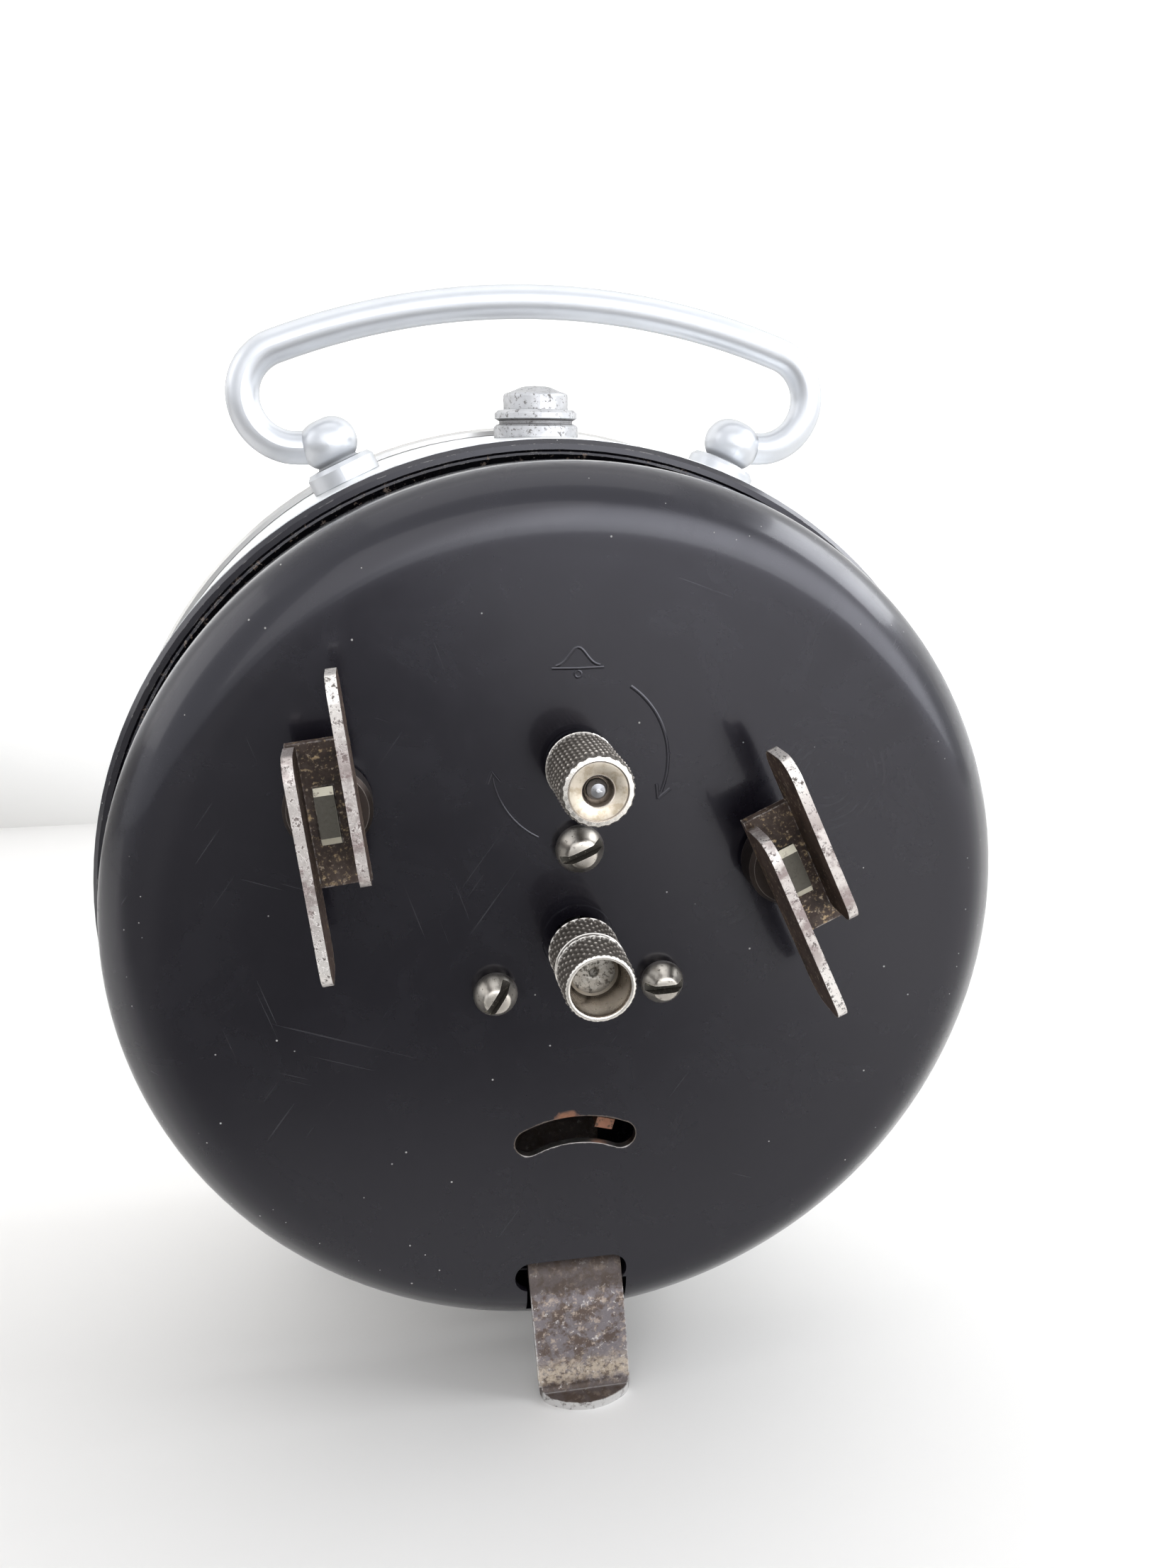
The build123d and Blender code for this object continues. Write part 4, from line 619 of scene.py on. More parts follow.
def knob_nickel(name, axis_z, ring_radius):
    """Knurled nickel: grime in the grooves, a bright ring round the end face."""
    mat = Mat(name)
    radius = mat.radius(z=axis_z)
    facing = mat.facing_y()
    body = mat.mul(mat.step(radius, zero=3.22, one=3.30), mat.step(facing, zero=0.90, one=0.72))
    crest = mat.weighted(radius, (mat.noise(scale=1.2, detail=4, rough=0.7), 0.12))
    crest = mat.step(crest, zero=KNOB_RADIUS - 0.10, one=KNOB_RADIUS + 0.07)
    grime = mat.mul(body, mat.inverse(crest))
    slow = mat.noise(scale=0.5, detail=4, rough=0.6)
    color = mat.mix(slow, under=(0.78, 0.72, 0.66), over=(0.58, 0.52, 0.45))

    # the flat inside the ring is duller and yellower
    inner = mat.mul(mat.step(radius, zero=ring_radius, one=ring_radius - 0.06),
                    mat.step(facing, zero=0.7, one=0.9))
    stain = mat.noise(scale=0.9, detail=5, rough=0.7, shift=(3, 3, 3))
    stain = mat.mix(mat.step(stain, zero=0.42, one=0.64),
                    under=(0.58, 0.52, 0.43), over=(0.42, 0.35, 0.26))
    color = mat.mix(inner, color, over=stain)

    # dark line at the ring's inner edge, brown bore, dark well, dirt in deep places
    line = mat.mul(mat.step(radius, zero=ring_radius - 0.09, one=ring_radius - 0.02),
                   mat.step(radius, zero=ring_radius + 0.07, one=ring_radius),
                   mat.step(facing, zero=0.6, one=0.8))
    color = mat.mix(line, color, over=(0.10, 0.08, 0.06), amount=0.8)
    bore = mat.mul(mat.step(radius, zero=2.9, one=2.8), mat.step(facing, zero=0.75, one=0.45))
    color = mat.mix(bore, color, over=(0.20, 0.15, 0.11), amount=0.6)
    well = mat.mul(mat.step(mat.xyz()[1], zero=39.4, one=38.2),
                   mat.step(radius, zero=2.95, one=2.8), mat.step(radius, zero=1.1, one=1.3))
    color = mat.mix(well, color, over=(0.045, 0.036, 0.028), amount=0.85)
    deep = mat.step(mat.openness(reach=1.2), zero=0.85, one=0.25)
    color = mat.mix(deep, color, over=(0.05, 0.04, 0.03), amount=0.7)

    ring = mat.mul(mat.step(radius, zero=ring_radius - 0.02, one=ring_radius + 0.10),
                   mat.step(facing, zero=0.35, one=0.7))
    color = mat.mix(ring, color, over=(0.96, 0.92, 0.86), amount=0.8)
    grime_color = mat.mix(mat.noise(scale=2.4, detail=4),
                          under=(0.016, 0.012, 0.009), over=(0.05, 0.038, 0.028))
    color = mat.mix(grime, color, over=grime_color, amount=0.93)
    rough = mat.weighted(0.20, (mat.noise(scale=1.8, detail=4), 0.12), (inner, 0.16))
    mat.surface(color, mat.blend(grime, rough, over=0.6), mat.minus(1.0, grime, weight=0.75))
    turning = mat.math("SINE", mat.mul(radius, 55.0))
    height = mat.mul(mat.noise(scale=3.5, detail=5, rough=0.7), 0.8)
    mat.bump(mat.weighted(height, (mat.mul(turning, inner), 0.15)), strength=0.22, depth=0.05)
    return mat


def foot_steel():
    """Browned strap steel of the rear foot."""
    mat = Mat("strap_browned")
    here = mat.xyz()
    big = mat.noise(scale=0.42, detail=6, rough=0.66, warp=0.4)
    mid = mat.noise(scale=1.3, detail=6, rough=0.72, shift=(3, 1, 5))
    small = mat.noise(scale=3.4, detail=5, rough=0.7)
    ragged = mat.sub(mat.noise(scale=1.0, detail=5, rough=0.7, shift=(0, 0, 4)), 0.5)
    ragged_z = mat.weighted(here[2], (ragged, 2.6))

    # brown, with grey and tan patches and pale flecks
    color = mat.mix(big, under=(0.060, 0.041, 0.033), over=(0.165, 0.118, 0.095))
    grey = mat.noise(scale=0.62, detail=6, rough=0.72, shift=(2, 5, 1), warp=0.3)
    grey_color = mat.mix(small, under=(0.125, 0.108, 0.115), over=(0.28, 0.25, 0.26))
    color = mat.mix(mat.step(grey, zero=0.42, one=0.56), color, over=grey_color)
    tan = mat.noise(scale=0.95, detail=6, rough=0.75, shift=(7, 1, 3))
    tan_color = mat.mix(small, under=(0.36, 0.27, 0.21), over=(0.60, 0.51, 0.43))
    color = mat.mix(mat.step(tan, zero=0.53, one=0.64), color, over=tan_color, amount=0.85)
    fleck = mat.step(mid, zero=0.59, one=0.66)
    color = mat.mix(fleck, color, over=(0.80, 0.76, 0.72), amount=0.8)

    # painted highlight: a light band just above the toe; painted shade: a darker toe and a darker
    # top bend under the bell
    band = mat.mul(mat.step(ragged_z, zero=1.6, one=2.8), mat.step(ragged_z, zero=6.0, one=3.4))
    patch = mat.noise(scale=1.5, detail=5, rough=0.75, shift=(1, 1, 9))
    # painted highlight: the light band, broken up by a patch noise
    wear_and_sheen = mat.mul(band, mat.step(patch, zero=0.36, one=0.56))
    band_sheen_color = mat.mix(small, under=(0.46, 0.35, 0.25), over=(0.80, 0.71, 0.58))
    color = mat.mix(wear_and_sheen, color, over=band_sheen_color, amount=0.8)
    # painted shade on the toe and on the top bend
    dark = mat.most(mat.step(ragged_z, zero=2.1, one=1.5), mat.step(ragged_z, zero=13.0, one=14.6))
    painted_shade_color = mat.mix(small, under=(0.036, 0.024, 0.018), over=(0.075, 0.052, 0.040))
    color = mat.mix(dark, color, over=painted_shade_color, amount=0.78)

    # painted highlights along the side edges and on the toe end, broken up
    bright = mat.mul(mat.edge(width=0.35), mat.step(mid, zero=0.40, one=0.54),
                     mat.step(here[2], zero=14.4, one=12.6))
    end = mat.mul(mat.step(mat.xyz(mat.normal())[1], zero=0.3, one=0.6),
                  mat.step(here[2], zero=1.12, one=1.02), mat.step(mid, zero=0.30, one=0.50))
    bright = mat.most(bright, mat.mul(end, 0.85))
    mat.surface(mat.mix(bright, color, over=(0.72, 0.71, 0.70)),
                mat.blend(bright, mat.minus(0.60, fleck, weight=0.22), over=0.32),
                mat.blend(bright, under=0.30, over=0.55))
    mat.bump(mat.weighted(mid, (small, 0.5)), strength=0.35, depth=0.07)
    return mat


def drum_silver():
    mat = Mat("drum_silver")
    slow = mat.noise(scale=0.12, detail=4, rough=0.6)
    speck = mat.noise(scale=1.6, detail=7, rough=0.8, shift=(5, 3, 3))
    speck = mat.step(speck, zero=0.585, one=0.645)
    pale = mat.noise(scale=2.6, detail=5, rough=0.75, shift=(1, 7, 3))
    pale = mat.step(pale, zero=0.56, one=0.64)
    color = mat.mix(slow, under=(0.66, 0.67, 0.68), over=(0.78, 0.785, 0.79))
    color = mat.mix(pale, color, over=(0.90, 0.90, 0.89), amount=0.5)
    speck_color = mat.mix(mat.noise(scale=3.0, detail=3),
                          under=(0.12, 0.11, 0.10), over=(0.38, 0.33, 0.28))
    color = mat.mix(speck, color, over=speck_color, amount=0.8)
    mat.surface(color, mat.weighted(0.30, (mat.noise(scale=1.2, detail=4), 0.16)),
                mat.minus(0.75, speck, weight=0.6))
    mat.bump(mat.sub(mat.noise(scale=4.0, detail=4), speck), strength=0.25, depth=0.05)
    return mat


def blued_steel():
    mat = Mat("hand_blued")
    cloud = mat.noise(scale=0.5, detail=4, rough=0.6)
    brushed = mat.noise(scale=3.0, detail=4, rough=0.6, stretch=(0.2, 1, 1))
    mat.surface(mat.mix(cloud, under=(0.018, 0.028, 0.085), over=(0.03, 0.05, 0.14)),
                mat.weighted(0.25, (brushed, 0.15)), metallic=0.9)
    mat.bump(mat.noise(scale=5.0, detail=3), strength=0.06, depth=0.03)
    return mat


# ------------------------------------------------------------------ dial, ink, glass
def dial_cream():
    mat = Mat("dial_cream")
    slow = mat.noise(scale=0.06, detail=4, rough=0.6)
    foxing = mat.noise(scale=0.9, detail=6, rough=0.75, shift=(2, 2, 2))
    foxing = mat.step(foxing, zero=0.66, one=0.74)
    border = mat.step(mat.radius(), zero=38.0, one=48.0)
    color = mat.mix(slow, under=(0.80, 0.76, 0.66), over=(0.86, 0.83, 0.74))
    color = mat.mix(border, color, over=(0.62, 0.54, 0.40), amount=0.35)
    color = mat.mix(foxing, color, over=(0.42, 0.30, 0.18), amount=0.4)
    alarm_dial = mat.step(mat.radius(z=ALARM_Z), zero=8.62, one=8.58)
    color = mat.mix(alarm_dial, color, over=(0.72, 0.67, 0.55), amount=0.35)
    mat.set("Base Color", color)
    mat.set("Roughness", mat.weighted(0.55, (mat.noise(scale=2.0, detail=3), 0.15)))
    mat.bump(mat.noise(scale=6.0, detail=3), strength=0.08, depth=0.03)
    return mat


def dial_ink():
    mat = Mat("dial_ink")
    mat.set("Base Color", mat.mix(mat.noise(scale=2.5, detail=4, rough=0.7),
                                  under=(0.012, 0.012, 0.013), over=(0.035, 0.033, 0.03)))
    mat.set("Roughness", mat.weighted(0.42, (mat.noise(scale=4.0, detail=3), 0.2)))
    return mat


def crystal_glass():
    """Clear glass: transparent, with a slightly smeared reflection."""
    mat = Mat("crystal")
    fresnel = mat.new("Fresnel")
    fresnel.inputs[0].default_value = 1.45
    smear = mat.noise(scale=0.08, detail=5, rough=0.7, warp=0.8)
    smear = mat.step(smear, zero=0.45, one=0.75)
    glossy = mat.new("BsdfGlossy")
    mat.put(glossy.inputs["Roughness"], mat.weighted(0.03, (smear, 0.012)))
    clear = mat.new("BsdfTransparent")
    clear.inputs[0].default_value = (0.985, 0.99, 0.985, 1)
    shader = mat.new("MixShader")
    mat.put(shader.inputs[0], mat.mul(fresnel.outputs[0], 0.7))
    mat.put(shader.inputs[1], clear.outputs[0])
    mat.put(shader.inputs[2], glossy.outputs[0])
    mat.put(mat.output(), shader.outputs[0])
    return mat


# ------------------------------------------------------------------ looks of the CAD pieces
looks = {
    "bell": bell_lacquer(),
    "cover": cover_lacquer(),
    "drum": drum_silver(),
    "bezel": metal("bezel_nickel", (0.52, 0.515, 0.50), rough=0.17, grain_amount=0.03,
                   edge_wear=True, tarnish=0.02, bump=0.0, slant_shade=0.8),
    "glass": crystal_glass(),
    "dial": dial_cream(),
    "ink": dial_ink(),
    "blue": blued_steel(),
    "satin": metal("aluminium_satin", (0.63, 0.645, 0.67), rough=0.31, grain=(0.15, 1, 1),
                   grain_amount=0.06, dirt=0.35, dirt_reach=1.0, tarnish=0.02, bump=0.04,
                   slant_shade=0.75),
    "worn": metal("aluminium_worn", (0.62, 0.62, 0.63), rough=0.40, grain_amount=0.2, specks=1.0,
                  dirt=0.85, dirt_reach=0.9, tarnish=0.25, edge_wear=True, bump=0.3, slant_shade=0.6),
    "screw": screw_nickel(),
    "steel": metal("steel_turned", (0.50, 0.50, 0.50), rough=0.30, grain=(1, 6, 1), specks=0.5,
                   dirt=0.5, tarnish=0.25),
    "brass": metal("brass_machined", (0.72, 0.53, 0.24), rough=0.28, grain=(1, 5, 1), specks=0.3,
                   dirt=0.5, tarnish=0.3),
    "spring": metal("spring_blued", (0.12, 0.15, 0.24), rough=0.30, grain=(1, 0.3, 1), specks=0.5,
                    dirt=0.4),
    "foot": foot_steel(),
    "copper": metal("regulator_copper", (0.30, 0.15, 0.10), rough=0.45, specks=1.4, tarnish=0.4,
                    bump=0.25),
    "rod": metal("steel_rod_end", (0.34, 0.34, 0.35), rough=0.30, specks=0.6, dirt=0.6,
                 tarnish=0.3),
    "going_key": key_steel("key_worn_going", **GOING_KEY),
    "going_arbor": arbor_steel("arbor_facet_highlight_going", GOING_KEY["turn"]),
    "alarm_arbor": arbor_steel("arbor_facet_highlight_alarm", ALARM_KEY["turn"]),
    "alarm_key": key_steel("key_worn_alarm", **ALARM_KEY),
}

# look: the pieces that wear it; every other piece is brass
PIECES = {
    "bell": "bell_back",
    "cover": "back_cover",
    "drum": "case_drum",
    "bezel": "front_bezel",
    "glass": "crystal_glass",
    "dial": "dial_plate",
    "ink": "hour_markers",
    "blue": "hour_hand minute_hand alarm_hand",
    "satin": "handle_bail handle_post_left handle_post_right front_feet",
    "worn": "button_collar stop_button",
    "screw": "bell_screws",
    "foot": "rear_foot foot_rivets",
    "copper": "regulator_lever",
    "spring": "going_mainspring alarm_mainspring hairspring",
    "rod": "alarm_arbor",
    "going_key": "going_key",
    "alarm_key": "alarm_key",
    "going_arbor": "going_wind_arbor",
    "alarm_arbor": "alarm_wind_arbor",
    "steel": "centre_arbor button_spring bell_pillars cover_spacers case_nuts plate_nuts "
             "dial_posts balance_cups minute_stud pallet_lever alarm_hammer going_click "
             "alarm_click",
}
look_of = {piece: look for look, pieces in PIECES.items() for piece in pieces.split()}
for piece, obj in nodes.items():
    paint(obj, looks[look_of.get(piece, "brass")])
    smooth(obj, degrees=30)

# pieces, bevel width, least edge angle in degrees, segments
BEVELS = (
    ("going_key alarm_key", 0.16, 30, 3),
    ("going_wind_arbor alarm_wind_arbor bell_screws rear_foot", 0.10, 35, 2),
    ("button_collar stop_button handle_post_left handle_post_right", 0.12, 35, 2),
    ("alarm_arbor", 0.30, 20, 4),
)
for pieces, width, degrees, segments in BEVELS:
    for piece in pieces.split():
        bevel(nodes[piece], width, degrees, segments)

# ------------------------------------------------------------------ knurled knobs
KNOB_SIDES = 390
KNURLS = 22            # grooves round the knob, in each of the two slants
KNURL_DEPTH = 0.36
KNURL_PITCH = 1.15     # y length in which a groove moves on by one
KNURL_CREST = 1.12     # above 1, this flattens the crests
KNURL_ROW = 0.07       # y distance between rows of vertices
KNURL_FADE = 0.25      # y length over which a band fades in, or out


def knurled_knob(name, profile, axis_z, body, mat):
    """Turn a closed profile of (radius, y, knurl depth from 0 to 1) round an axis along y."""
    verts = []
    for radius, y, knurl in profile:
        for i in range(KNOB_SIDES):
            turn = i / KNOB_SIDES
            reach = radius
            if knurl > 0:
                one_slant = (turn * KNURLS + y / KNURL_PITCH) % 1.0
                other_slant = (turn * KNURLS - y / KNURL_PITCH) % 1.0
                height = min(1 - abs(2 * one_slant - 1), 1 - abs(2 * other_slant - 1))
                reach = radius - KNURL_DEPTH * knurl * (1 - min(1.0, height * KNURL_CREST))
            angle = 2 * math.pi * turn
            verts.append((reach * math.cos(angle), y, axis_z + reach * math.sin(angle)))
    faces = tube_faces(len(profile), KNOB_SIDES, closed=True)
    return mesh_object(name, verts, faces, body, mat, smooth_degrees=38)


def knurl_band(start, end, fade_out=KNURL_FADE, end_knurl=0.0):
    """Profile rows of a knurled band; it ends at the knurl depth end_knurl."""
    count = max(2, int((end - start) / KNURL_ROW))
    rows = []
    for i in range(count + 1):
        y = start + (end - start) * i / count
        knurl = min(1.0, (y - start) / KNURL_FADE, (end - y) / fade_out + end_knurl)
        rows.append((KNOB_RADIUS, y, max(0.0, knurl)))
    return rows


# a band that stays knurled up to the rounded end of the knob
OPEN_END = {"fade_out": 0.04, "end_knurl": 0.7}

# hand-setting knob: two knurled bands, a groove between them, a deep cup in the end
hand_profile = [
    (1.25, 32.0, 0), (3.1, 32.0, 0), (3.42, 32.15, 0), (3.6, 32.45, 0),
    *knurl_band(32.55, 36.75),
    (3.62, 36.85, 0), (3.52, 36.95, 0), (3.52, 37.2, 0), (3.62, 37.3, 0),
    *knurl_band(37.4, 41.5, **OPEN_END),
    (3.70, 41.6, 0.7), (3.66, 41.8, 0.35), (3.56, 41.98, 0.1), (3.42, 42.08, 0), (3.25, 42.1, 0),
    (3.10, 42.05, 0), (2.99, 41.85, 0), (2.93, 41.4, 0), (2.88, 40.4, 0), (2.82, 39.2, 0),
    (2.72, 38.4, 0), (2.55, 38.1, 0), (2.1, 37.98, 0), (1.6, 37.92, 0), (1.25, 37.92, 0),
]
hand_knob = knurled_knob("hand_knob_knurled", hand_profile, AXIS_Z, "hand_setting",
                         knob_nickel("knurled_nickel_hand", AXIS_Z, ring_radius=2.6))
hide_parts("hand_set_knob")

# alarm-setting knob: one knurled band, a flat end with a raised rim and a small recess
alarm_profile = [
    (1.05, 30.6, 0), (3.1, 30.6, 0), (3.42, 30.75, 0), (3.6, 31.05, 0),
    *knurl_band(31.15, 39.95, **OPEN_END),
    (3.70, 40.05, 0.8), (3.64, 40.25, 0.5), (3.54, 40.40, 0.2), (3.40, 40.48, 0), (3.02, 40.50, 0),
    (2.97, 40.42, 0), (2.90, 40.41, 0), (2.84, 40.46, 0), (1.75, 40.42, 0), (1.62, 40.34, 0),
    (1.50, 40.1, 0), (1.36, 39.6, 0), (1.2, 39.3, 0), (1.05, 39.2, 0),
]
alarm_knob = knurled_knob("alarm_knob_knurled", alarm_profile, ALARM_Z, "alarm_setting",
                          knob_nickel("knurled_nickel_alarm", ALARM_Z, ring_radius=2.95))
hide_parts("alarm_set_knob")

# rough floor of the hand knob's cup, with a dimple in its middle: a closed plug
CUP_SIDES = 40
CUP_ROUGHNESS = 0.055
# (radius, y) of each ring
CUP_RINGS = [
    (0.12, 37.80), (0.30, 37.80), (0.44, 37.88), (0.52, 38.10), (0.72, 38.16), (0.95, 38.13),
    (1.2, 38.15), (1.45, 38.12), (1.7, 38.11), (1.95, 38.08), (2.2, 38.05), (2.38, 37.99),
    (2.3, 37.94), (1.15, 37.94), (1.15, 37.72), (0.12, 37.72),
]


def cup_floor():
    jitter = random.Random(3)
    verts = []
    for ring, (radius, y) in enumerate(CUP_RINGS):
        for i in range(CUP_SIDES):
            angle = 2 * math.pi * i / CUP_SIDES
            # only the rings of the floor itself are uneven
            rise = jitter.uniform(-CUP_ROUGHNESS, CUP_ROUGHNESS) if 3 < ring < 11 else 0.0
            verts.append((radius * math.cos(angle), y + rise, AXIS_Z + radius * math.sin(angle)))
    faces = tube_faces(len(CUP_RINGS), CUP_SIDES)
    last = (len(CUP_RINGS) - 1) * CUP_SIDES
    faces.append(tuple(range(CUP_SIDES))[::-1])
    faces.append(tuple(range(last, last + CUP_SIDES)))
    mat = metal("cup_floor", (0.42, 0.40, 0.36), rough=0.5, specks=1.6, dirt=0.95, dirt_reach=0.8,
                dirt_color=(0.006, 0.005, 0.004), tarnish=0.4, bump=0.5)
    mesh_object("hand_knob_cup_floor", verts, faces, "hand_setting", mat,
                smooth_degrees=50)


cup_floor()

# ------------------------------------------------------------------ embossed marks on the bell
# section of a low rounded ridge: (share of its width across, share of its height)
RIDGE = [(-0.5, -0.05), (-0.36, 0.55), (-0.14, 0.95), (0.14, 0.95), (0.36, 0.55), (0.5, -0.05)]


def ridge(name, points, width, height):
    """A ridge along (x, z) points on the bell's flat face."""
    verts = []
    for i, (x, z) in enumerate(points):
        before = points[max(i - 1, 0)]
        after = points[min(i + 1, len(points) - 1)]
        run_x, run_z = after[0] - before[0], after[1] - before[1]
        run = math.hypot(run_x, run_z) or 1
        for across, rise in RIDGE:
            verts.append((x - run_z / run * across * width, BACK_Y + rise * height,
                          z + run_x / run * across * width))
    sides = len(RIDGE)
    last = (len(points) - 1) * sides
    faces = tube_faces(len(points), sides)
    faces.append(tuple(range(sides)))
    faces.append(tuple(range(last, last + sides))[::-1])
    mesh_object(name, verts, faces, "clock_case", looks["bell"],
                smooth_degrees=50)


def arc_points(center_z, radius, start, end, count=28):
    """Points about x = 0; degrees from straight up, clockwise as seen from behind."""
    points = []
    for i in range(count + 1):
        angle = math.radians(start + (end - start) * i / count)
        points.append((-radius * math.sin(angle), center_z + radius * math.cos(angle)))
    return points


def arrow(name, radius, start, end, width, height, head):
    """A clockwise arc round the alarm knob with a two-barbed head at its end."""
    ridge(name + "_arc", arc_points(ALARM_Z, radius, start, end), width, height)
    angle = math.radians(end)
    along_x, along_z = -math.cos(angle), -math.sin(angle)
    tip_x = -radius * math.sin(angle) + along_x * head * 0.55
    tip_z = ALARM_Z + radius * math.cos(angle) + along_z * head * 0.55
    for side, suffix in ((-1, "_barb_a"), (1, "_barb_b")):
        tail_x = tip_x - along_x * head - along_z * side * head * 0.55
        tail_z = tip_z - along_z * head + along_x * side * head * 0.55
        middle = ((tail_x + tip_x) / 2, (tail_z + tip_z) / 2)
        ridge(name + suffix, [(tail_x, tail_z), middle, (tip_x, tip_z)], width, height)


arrow("alarm_arrow", radius=9.6, start=35, end=112, width=0.40, height=0.045, head=1.5)
arrow("alarm_arrow_low", radius=9.0, start=-152, end=-98, width=0.32, height=0.035, head=1.2)

# a small bell sign above the alarm knob
SIGN_Z = AXIS_Z + 29.6
SIGN_HEIGHT = 0.055
crown = []
for i in range(25):
    x = -2.3 + 4.6 * i / 24
    crown.append((x, SIGN_Z + 1.9 * math.exp(-((x / 1.15) ** 2) * 0.9) + 0.15))
base = [(-2.7, SIGN_Z - 0.05), (0, SIGN_Z - 0.1), (2.7, SIGN_Z - 0.05)]
clapper = arc_points(SIGN_Z - 0.7, radius=0.35, start=0, end=330, count=10)
ridge("alarm_sign_crown", crown, width=0.36, height=SIGN_HEIGHT)
ridge("alarm_sign_base", base, width=0.36, height=SIGN_HEIGHT)
ridge("alarm_sign_clapper", clapper, width=0.3, height=SIGN_HEIGHT)

# ------------------------------------------------------------------ dial printing
PRINT_Y = -0.03    # the print stands this far in front of the dial


def dial_text(name, text, x, z, height):
    curve = bpy.data.curves.new(name, "FONT")
    curve.body = text
    curve.size = height * MM
    curve.align_x = "CENTER"
    curve.align_y = "CENTER"
    curve.extrude = 0.02 * MM
    curve.offset = 0.12 * MM * height / 7
    curve.resolution_u = 6
    text_obj = link_object(name, curve)
    place = Matrix.Translation((x * MM, (DIAL_Y - 0.02 + POST_Y) * MM, z * MM))
    text_obj.matrix_world = place @ Matrix.Rotation(math.radians(90), 4, "X")
    curve.materials.append(looks["ink"].data)
    bpy.context.view_layer.update()
    depsgraph = bpy.context.evaluated_depsgraph_get()
    mesh = bpy.data.meshes.new_from_object(text_obj.evaluated_get(depsgraph))
    mesh.transform(text_obj.matrix_world)
    # made while the text object holds the plain name, so this name gets a numbered ending
    obj = link_object(name, mesh)
    bpy.data.objects.remove(text_obj)
    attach(obj, "clock_case")


def numerals(prefix, hours, center_z, radius, height):
    for hour in hours:
        angle = math.radians(30 * hour)
        dial_text(f"{prefix}_{hour:02d}", str(hour), radius * math.sin(angle),
                  center_z + radius * math.cos(angle), height)


def print_mesh(name, verts, faces):
    mesh_object(name, verts, faces, "clock_case", looks["ink"])


def ticks(name, center_z, y, inner, outer, marks):
    """marks: (degrees from twelve, width)."""
    verts, faces = [], []
    for degrees, width in marks:
        sine, cosine = math.sin(math.radians(degrees)), math.cos(math.radians(degrees))
        first = len(verts)
        half = width / 2
        for radius, side in ((inner, -half), (inner, half), (outer, half), (outer, -half)):
            for rise in (0.0, PRINT_Y):
                verts.append((radius * sine + side * cosine, y + rise,
                              center_z + radius * cosine - side * sine))
        back = [first + 2 * i for i in range(4)]
        front = [first + 2 * i + 1 for i in range(4)]
        faces.append(tuple(front))
        faces.append(tuple(back[::-1]))
        for i in range(4):
            j = (i + 1) % 4
            faces.append((back[i], back[j], front[j], front[i]))
    print_mesh(name, verts, faces)


def printed_ring(name, center_z, y, radius, sides, width=0.16):
    verts, faces = [], []
    for i in range(sides):
        angle = 2 * math.pi * i / sides
        for reach in (radius - width / 2, radius + width / 2):
            for rise in (0.0, PRINT_Y):
                verts.append((reach * math.sin(angle), y + rise,
                              center_z + reach * math.cos(angle)))
    for i in range(sides):
        here, there = i * 4, ((i + 1) % sides) * 4
        faces += [(here + 1, there + 1, there + 3, here + 3), (here, here + 2, there + 2, there),
                  (here, there, there + 1, here + 1), (here + 2, here + 3, there + 3, there + 2)]
    print_mesh(name, verts, faces)


numerals("numeral", range(1, 13), AXIS_Z, radius=34.6, height=7.6)
numerals("alarm_numeral", (3, 6, 9, 12), ALARM_Z, radius=6.3, height=2.3)
ticks("minute_track", AXIS_Z, DIAL_Y, inner=44.6, outer=45.7,
      marks=[(6 * minute, 0.22 if minute % 5 else 0.5) for minute in range(60)])
ticks("alarm_track", ALARM_Z, ALARM_DIAL_Y, inner=7.6, outer=8.3,
      marks=[(30 * hour, 0.18) for hour in range(12)])
printed_ring("minute_ring_inner", AXIS_Z, DIAL_Y, radius=44.5, sides=120)
printed_ring("alarm_ring", ALARM_Z, ALARM_DIAL_Y, radius=8.45, sides=64)

# ------------------------------------------------------------------ stage, in metres
REACH = 4              # half width of the floor and wall, and the wall's height
WALL_Y = -0.225 + POST_Y * MM


def floor_pale():
    """Pale floor; in reflections the part behind the clock's back is dim: painted shade, seen only
    by glossy rays.
    """
    mat = Mat("floor_pale")
    pale = (0.80, 0.785, 0.765)
    color = mat.mix(mat.noise(scale=0.012, detail=4, rough=0.6),
                    under=tuple(channel * 0.985 for channel in pale), over=pale)
    glossy = mat.new("LightPath").outputs["Is Glossy Ray"]
    here = mat.xyz()
    # painted shade: glossy rays see the floor darker from 35 mm behind the clock's back onward, not
    # towards -X and a little less towards +X
    dim = mat.mul(mat.step(here[1], zero=35.0, one=140.0), glossy,
                  mat.step(here[0], zero=-95.0, one=-5.0),
                  mat.minus(1.0, mat.step(here[0], zero=40.0, one=110.0), weight=0.35))
    mat.set("Base Color", mat.mix(dim, color, over=tuple(channel * 0.16 for channel in pale)))
    mat.set("Roughness", 0.55)
    mat.set("Specular IOR Level", 0.25)
    return mat


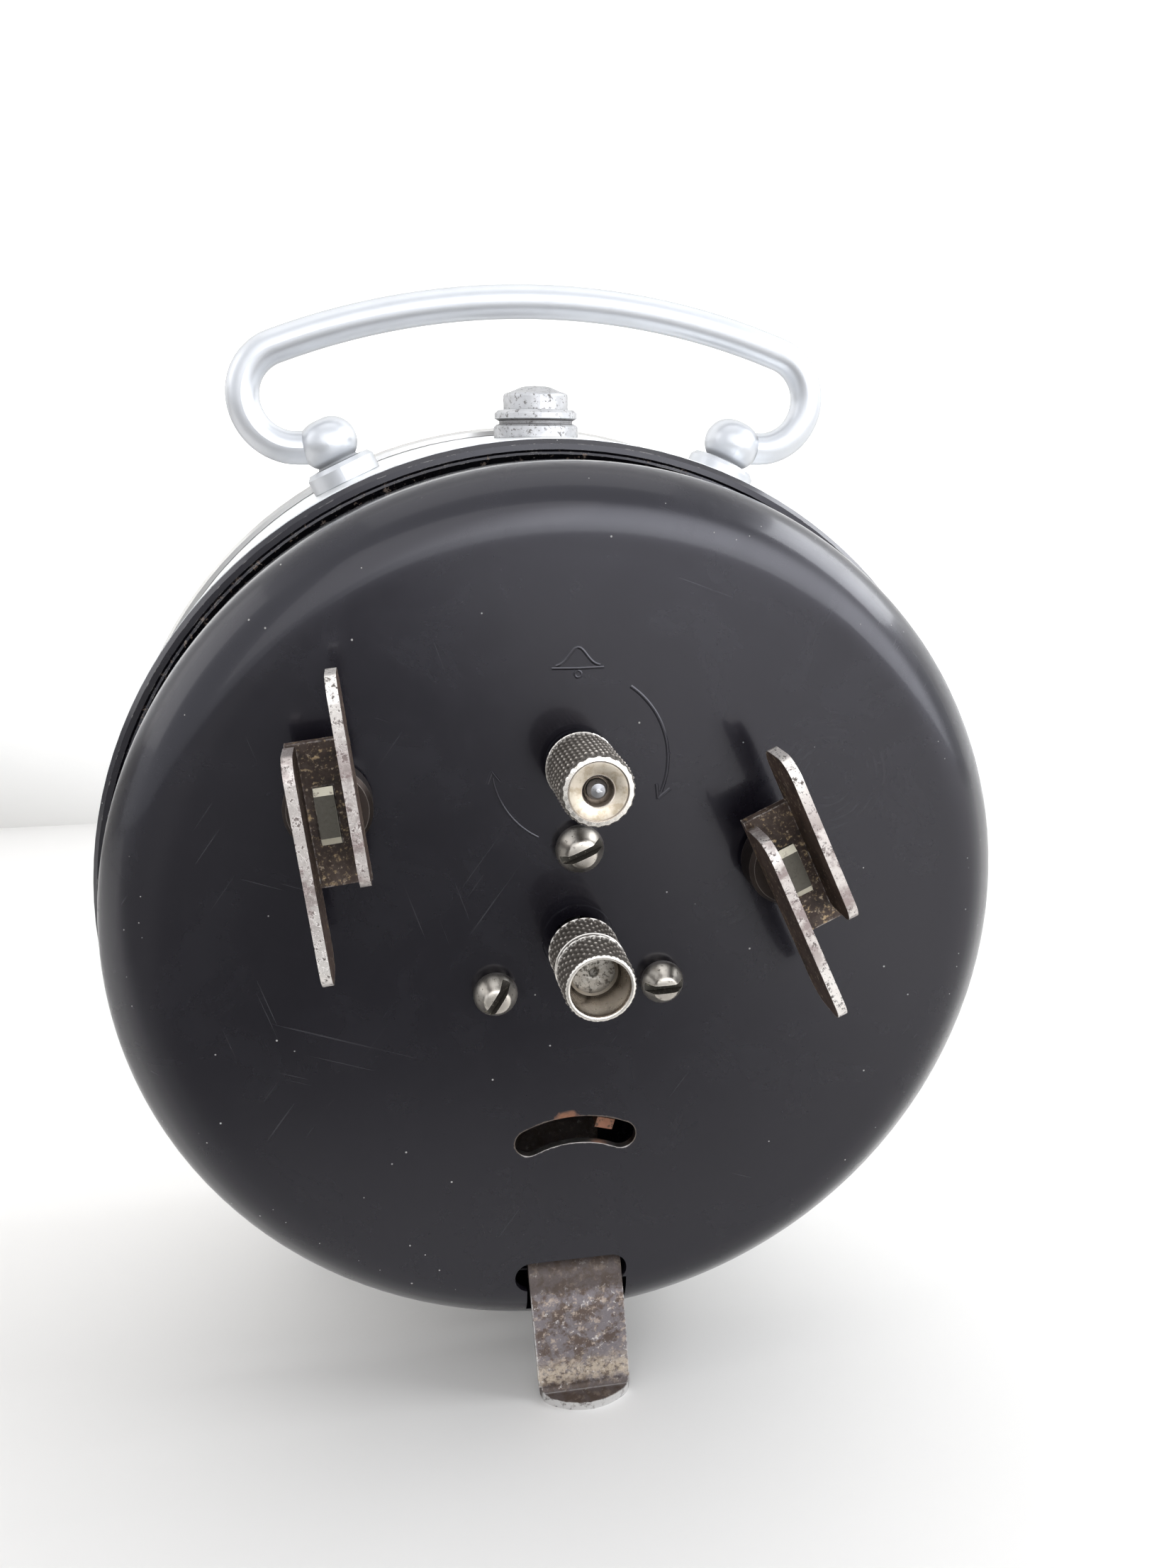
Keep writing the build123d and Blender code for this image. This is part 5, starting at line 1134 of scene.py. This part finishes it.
def wall_white():
    """White wall, clear from its far side; painted light: it glows more with height, and its colour
    is painted darker low down and towards +X.
    """
    mat = Mat("wall_white")
    here = mat.xyz()
    level = mat.minus(here[2], here[0], weight=0.3)
    # painted shade: the colour is darker low down and towards +X
    mat.set("Base Color", mat.mix(mat.step(level, zero=-70.0, one=40.0),
                                  under=(0.666, 0.6525, 0.6265), over=(0.90, 0.90, 0.895)))
    mat.set("Roughness", 0.8)
    mat.set("Specular IOR Level", 0.25)
    # painted light: the wall glows, more with height
    mat.set("Emission Color", (1.0, 1.0, 1.0, 1))
    glow = mat.weighted(0.02, (mat.step(level, zero=-60.0, one=75.0), 0.98))
    mat.set("Emission Strength", mat.mul(glow, 0.66))
    shader = mat.new("MixShader")
    mat.put(shader.inputs[0], mat.new("NewGeometry").outputs["Backfacing"])
    mat.put(shader.inputs[1], mat.bsdf.outputs[0])
    mat.put(shader.inputs[2], mat.new("BsdfTransparent").outputs[0])
    mat.put(mat.output(), shader.outputs[0])
    return mat


def plane(name, corners, mat):
    mesh = bpy.data.meshes.new(name)
    mesh.from_pydata(corners, [], [tuple(range(len(corners)))])
    mesh.update()
    obj = link_object(name, mesh)
    mesh.materials.append(mat.data)


plane("floor", [(-REACH, -REACH, 0), (REACH, -REACH, 0), (REACH, REACH, 0), (-REACH, REACH, 0)],
      floor_pale())
plane("wall", [(REACH, WALL_Y, 0), (-REACH, WALL_Y, 0), (-REACH, WALL_Y, REACH),
               (REACH, WALL_Y, REACH)], wall_white())


# ------------------------------------------------------------------ light, in metres
def area(name, place, target, width, height, power, color, sheen=1.0):
    """An area light aimed at target; sheen scales its strength in reflections."""
    light = bpy.data.lights.new(name, "AREA")
    light.shape = "RECTANGLE"
    light.size = width
    light.size_y = height
    light.energy = power
    light.color = color
    obj = link_object(name, light)
    obj.location = Vector(place) + Vector((0, POST_Y * MM, 0))
    aim = Vector(target) - Vector(place)
    obj.rotation_mode = "QUATERNION"
    obj.rotation_quaternion = aim.to_track_quat("-Z", "Y")
    if sheen != 1.0:
        light.use_nodes = True
        graph = Graph(light.node_tree)
        emission = [node for node in graph.tree.nodes if node.type == "EMISSION"][0]
        glossy = graph.new("LightPath").outputs["Is Glossy Ray"]
        strength = graph.math("MULTIPLY_ADD", glossy, sheen - 1.0, 1.0)
        graph.put(emission.inputs["Strength"], strength)


CLOCK_MIDDLE = (0, 0, 0.06)
area("window", place=(-0.95, 0.04, 0.72), target=CLOCK_MIDDLE, width=0.75, height=0.50,
     power=8.0, color=(0.94, 0.97, 1.0), sheen=4.2)
area("ceiling", place=(0.0, -0.35, 1.5), target=(0, -0.1, 0), width=1.5, height=1.5,
     power=5.0, color=(1.0, 0.99, 0.975))
area("left_fill", place=(1.1, -0.05, 0.65), target=CLOCK_MIDDLE, width=0.7, height=0.7,
     power=2.0, color=(1.0, 0.985, 0.97))
area("low_bounce", place=(0.12, 0.75, 0.42), target=(0, 0.05, 0.0), width=0.6, height=0.6,
     power=1.1, color=(1.0, 0.99, 0.98), sheen=0.0)


def room_world():
    """Even soft light; polished surfaces mirror a room that is dim low down and brighter from
    eye level up, with a bright patch towards the window side.
    """
    world = bpy.data.worlds.new("room")
    world.use_nodes = True
    bpy.context.scene.world = world
    graph = Graph(world.node_tree)
    direction = graph.new("TexCoord").outputs["Generated"]
    upper = graph.step(graph.xyz(direction)[2], zero=-0.17, one=0.03)
    window = graph.dot(direction, Vector((-0.56, 0.83, 0.0)).normalized())
    window = graph.step(window, zero=0.72, one=0.99)
    room = graph.weighted(0.14, (upper, 1.12), (window, 4.4))
    rays = graph.new("LightPath").outputs
    even = 0.635       # strength for all other rays
    in_view = 0.95     # strength seen directly by the camera
    level = graph.weighted(even, (rays["Is Glossy Ray"], graph.sub(room, even)),
                           (rays["Is Camera Ray"], in_view - even))
    background = graph.tree.nodes["Background"]
    graph.put(background.inputs["Strength"], level)
    background.inputs["Color"].default_value = (0.93, 0.955, 1.0, 1)


room_world()

# ------------------------------------------------------------------ camera, in metres
camera = bpy.data.cameras.new("camera")
camera_obj = link_object("camera", camera)
# the columns are the camera's right, up and backward directions
camera_turn = Matrix(((-0.98347, -0.04558, 0.17523),
                      (0.18105, -0.25917, 0.94871),
                      (0.00217, 0.96475, 0.26314)))
camera_place = Matrix.Translation((0.02126, 0.149869 + POST_Y * MM, 0.10927))
camera_obj.matrix_world = camera_place @ camera_turn.to_4x4()
camera.sensor_width = 36.0
camera.lens = 27.993
camera.clip_start = 0.005
camera.clip_end = 20
bpy.context.scene.camera = camera_obj
view = bpy.context.scene.view_settings
view.view_transform = "Standard"
view.exposure = 0.0
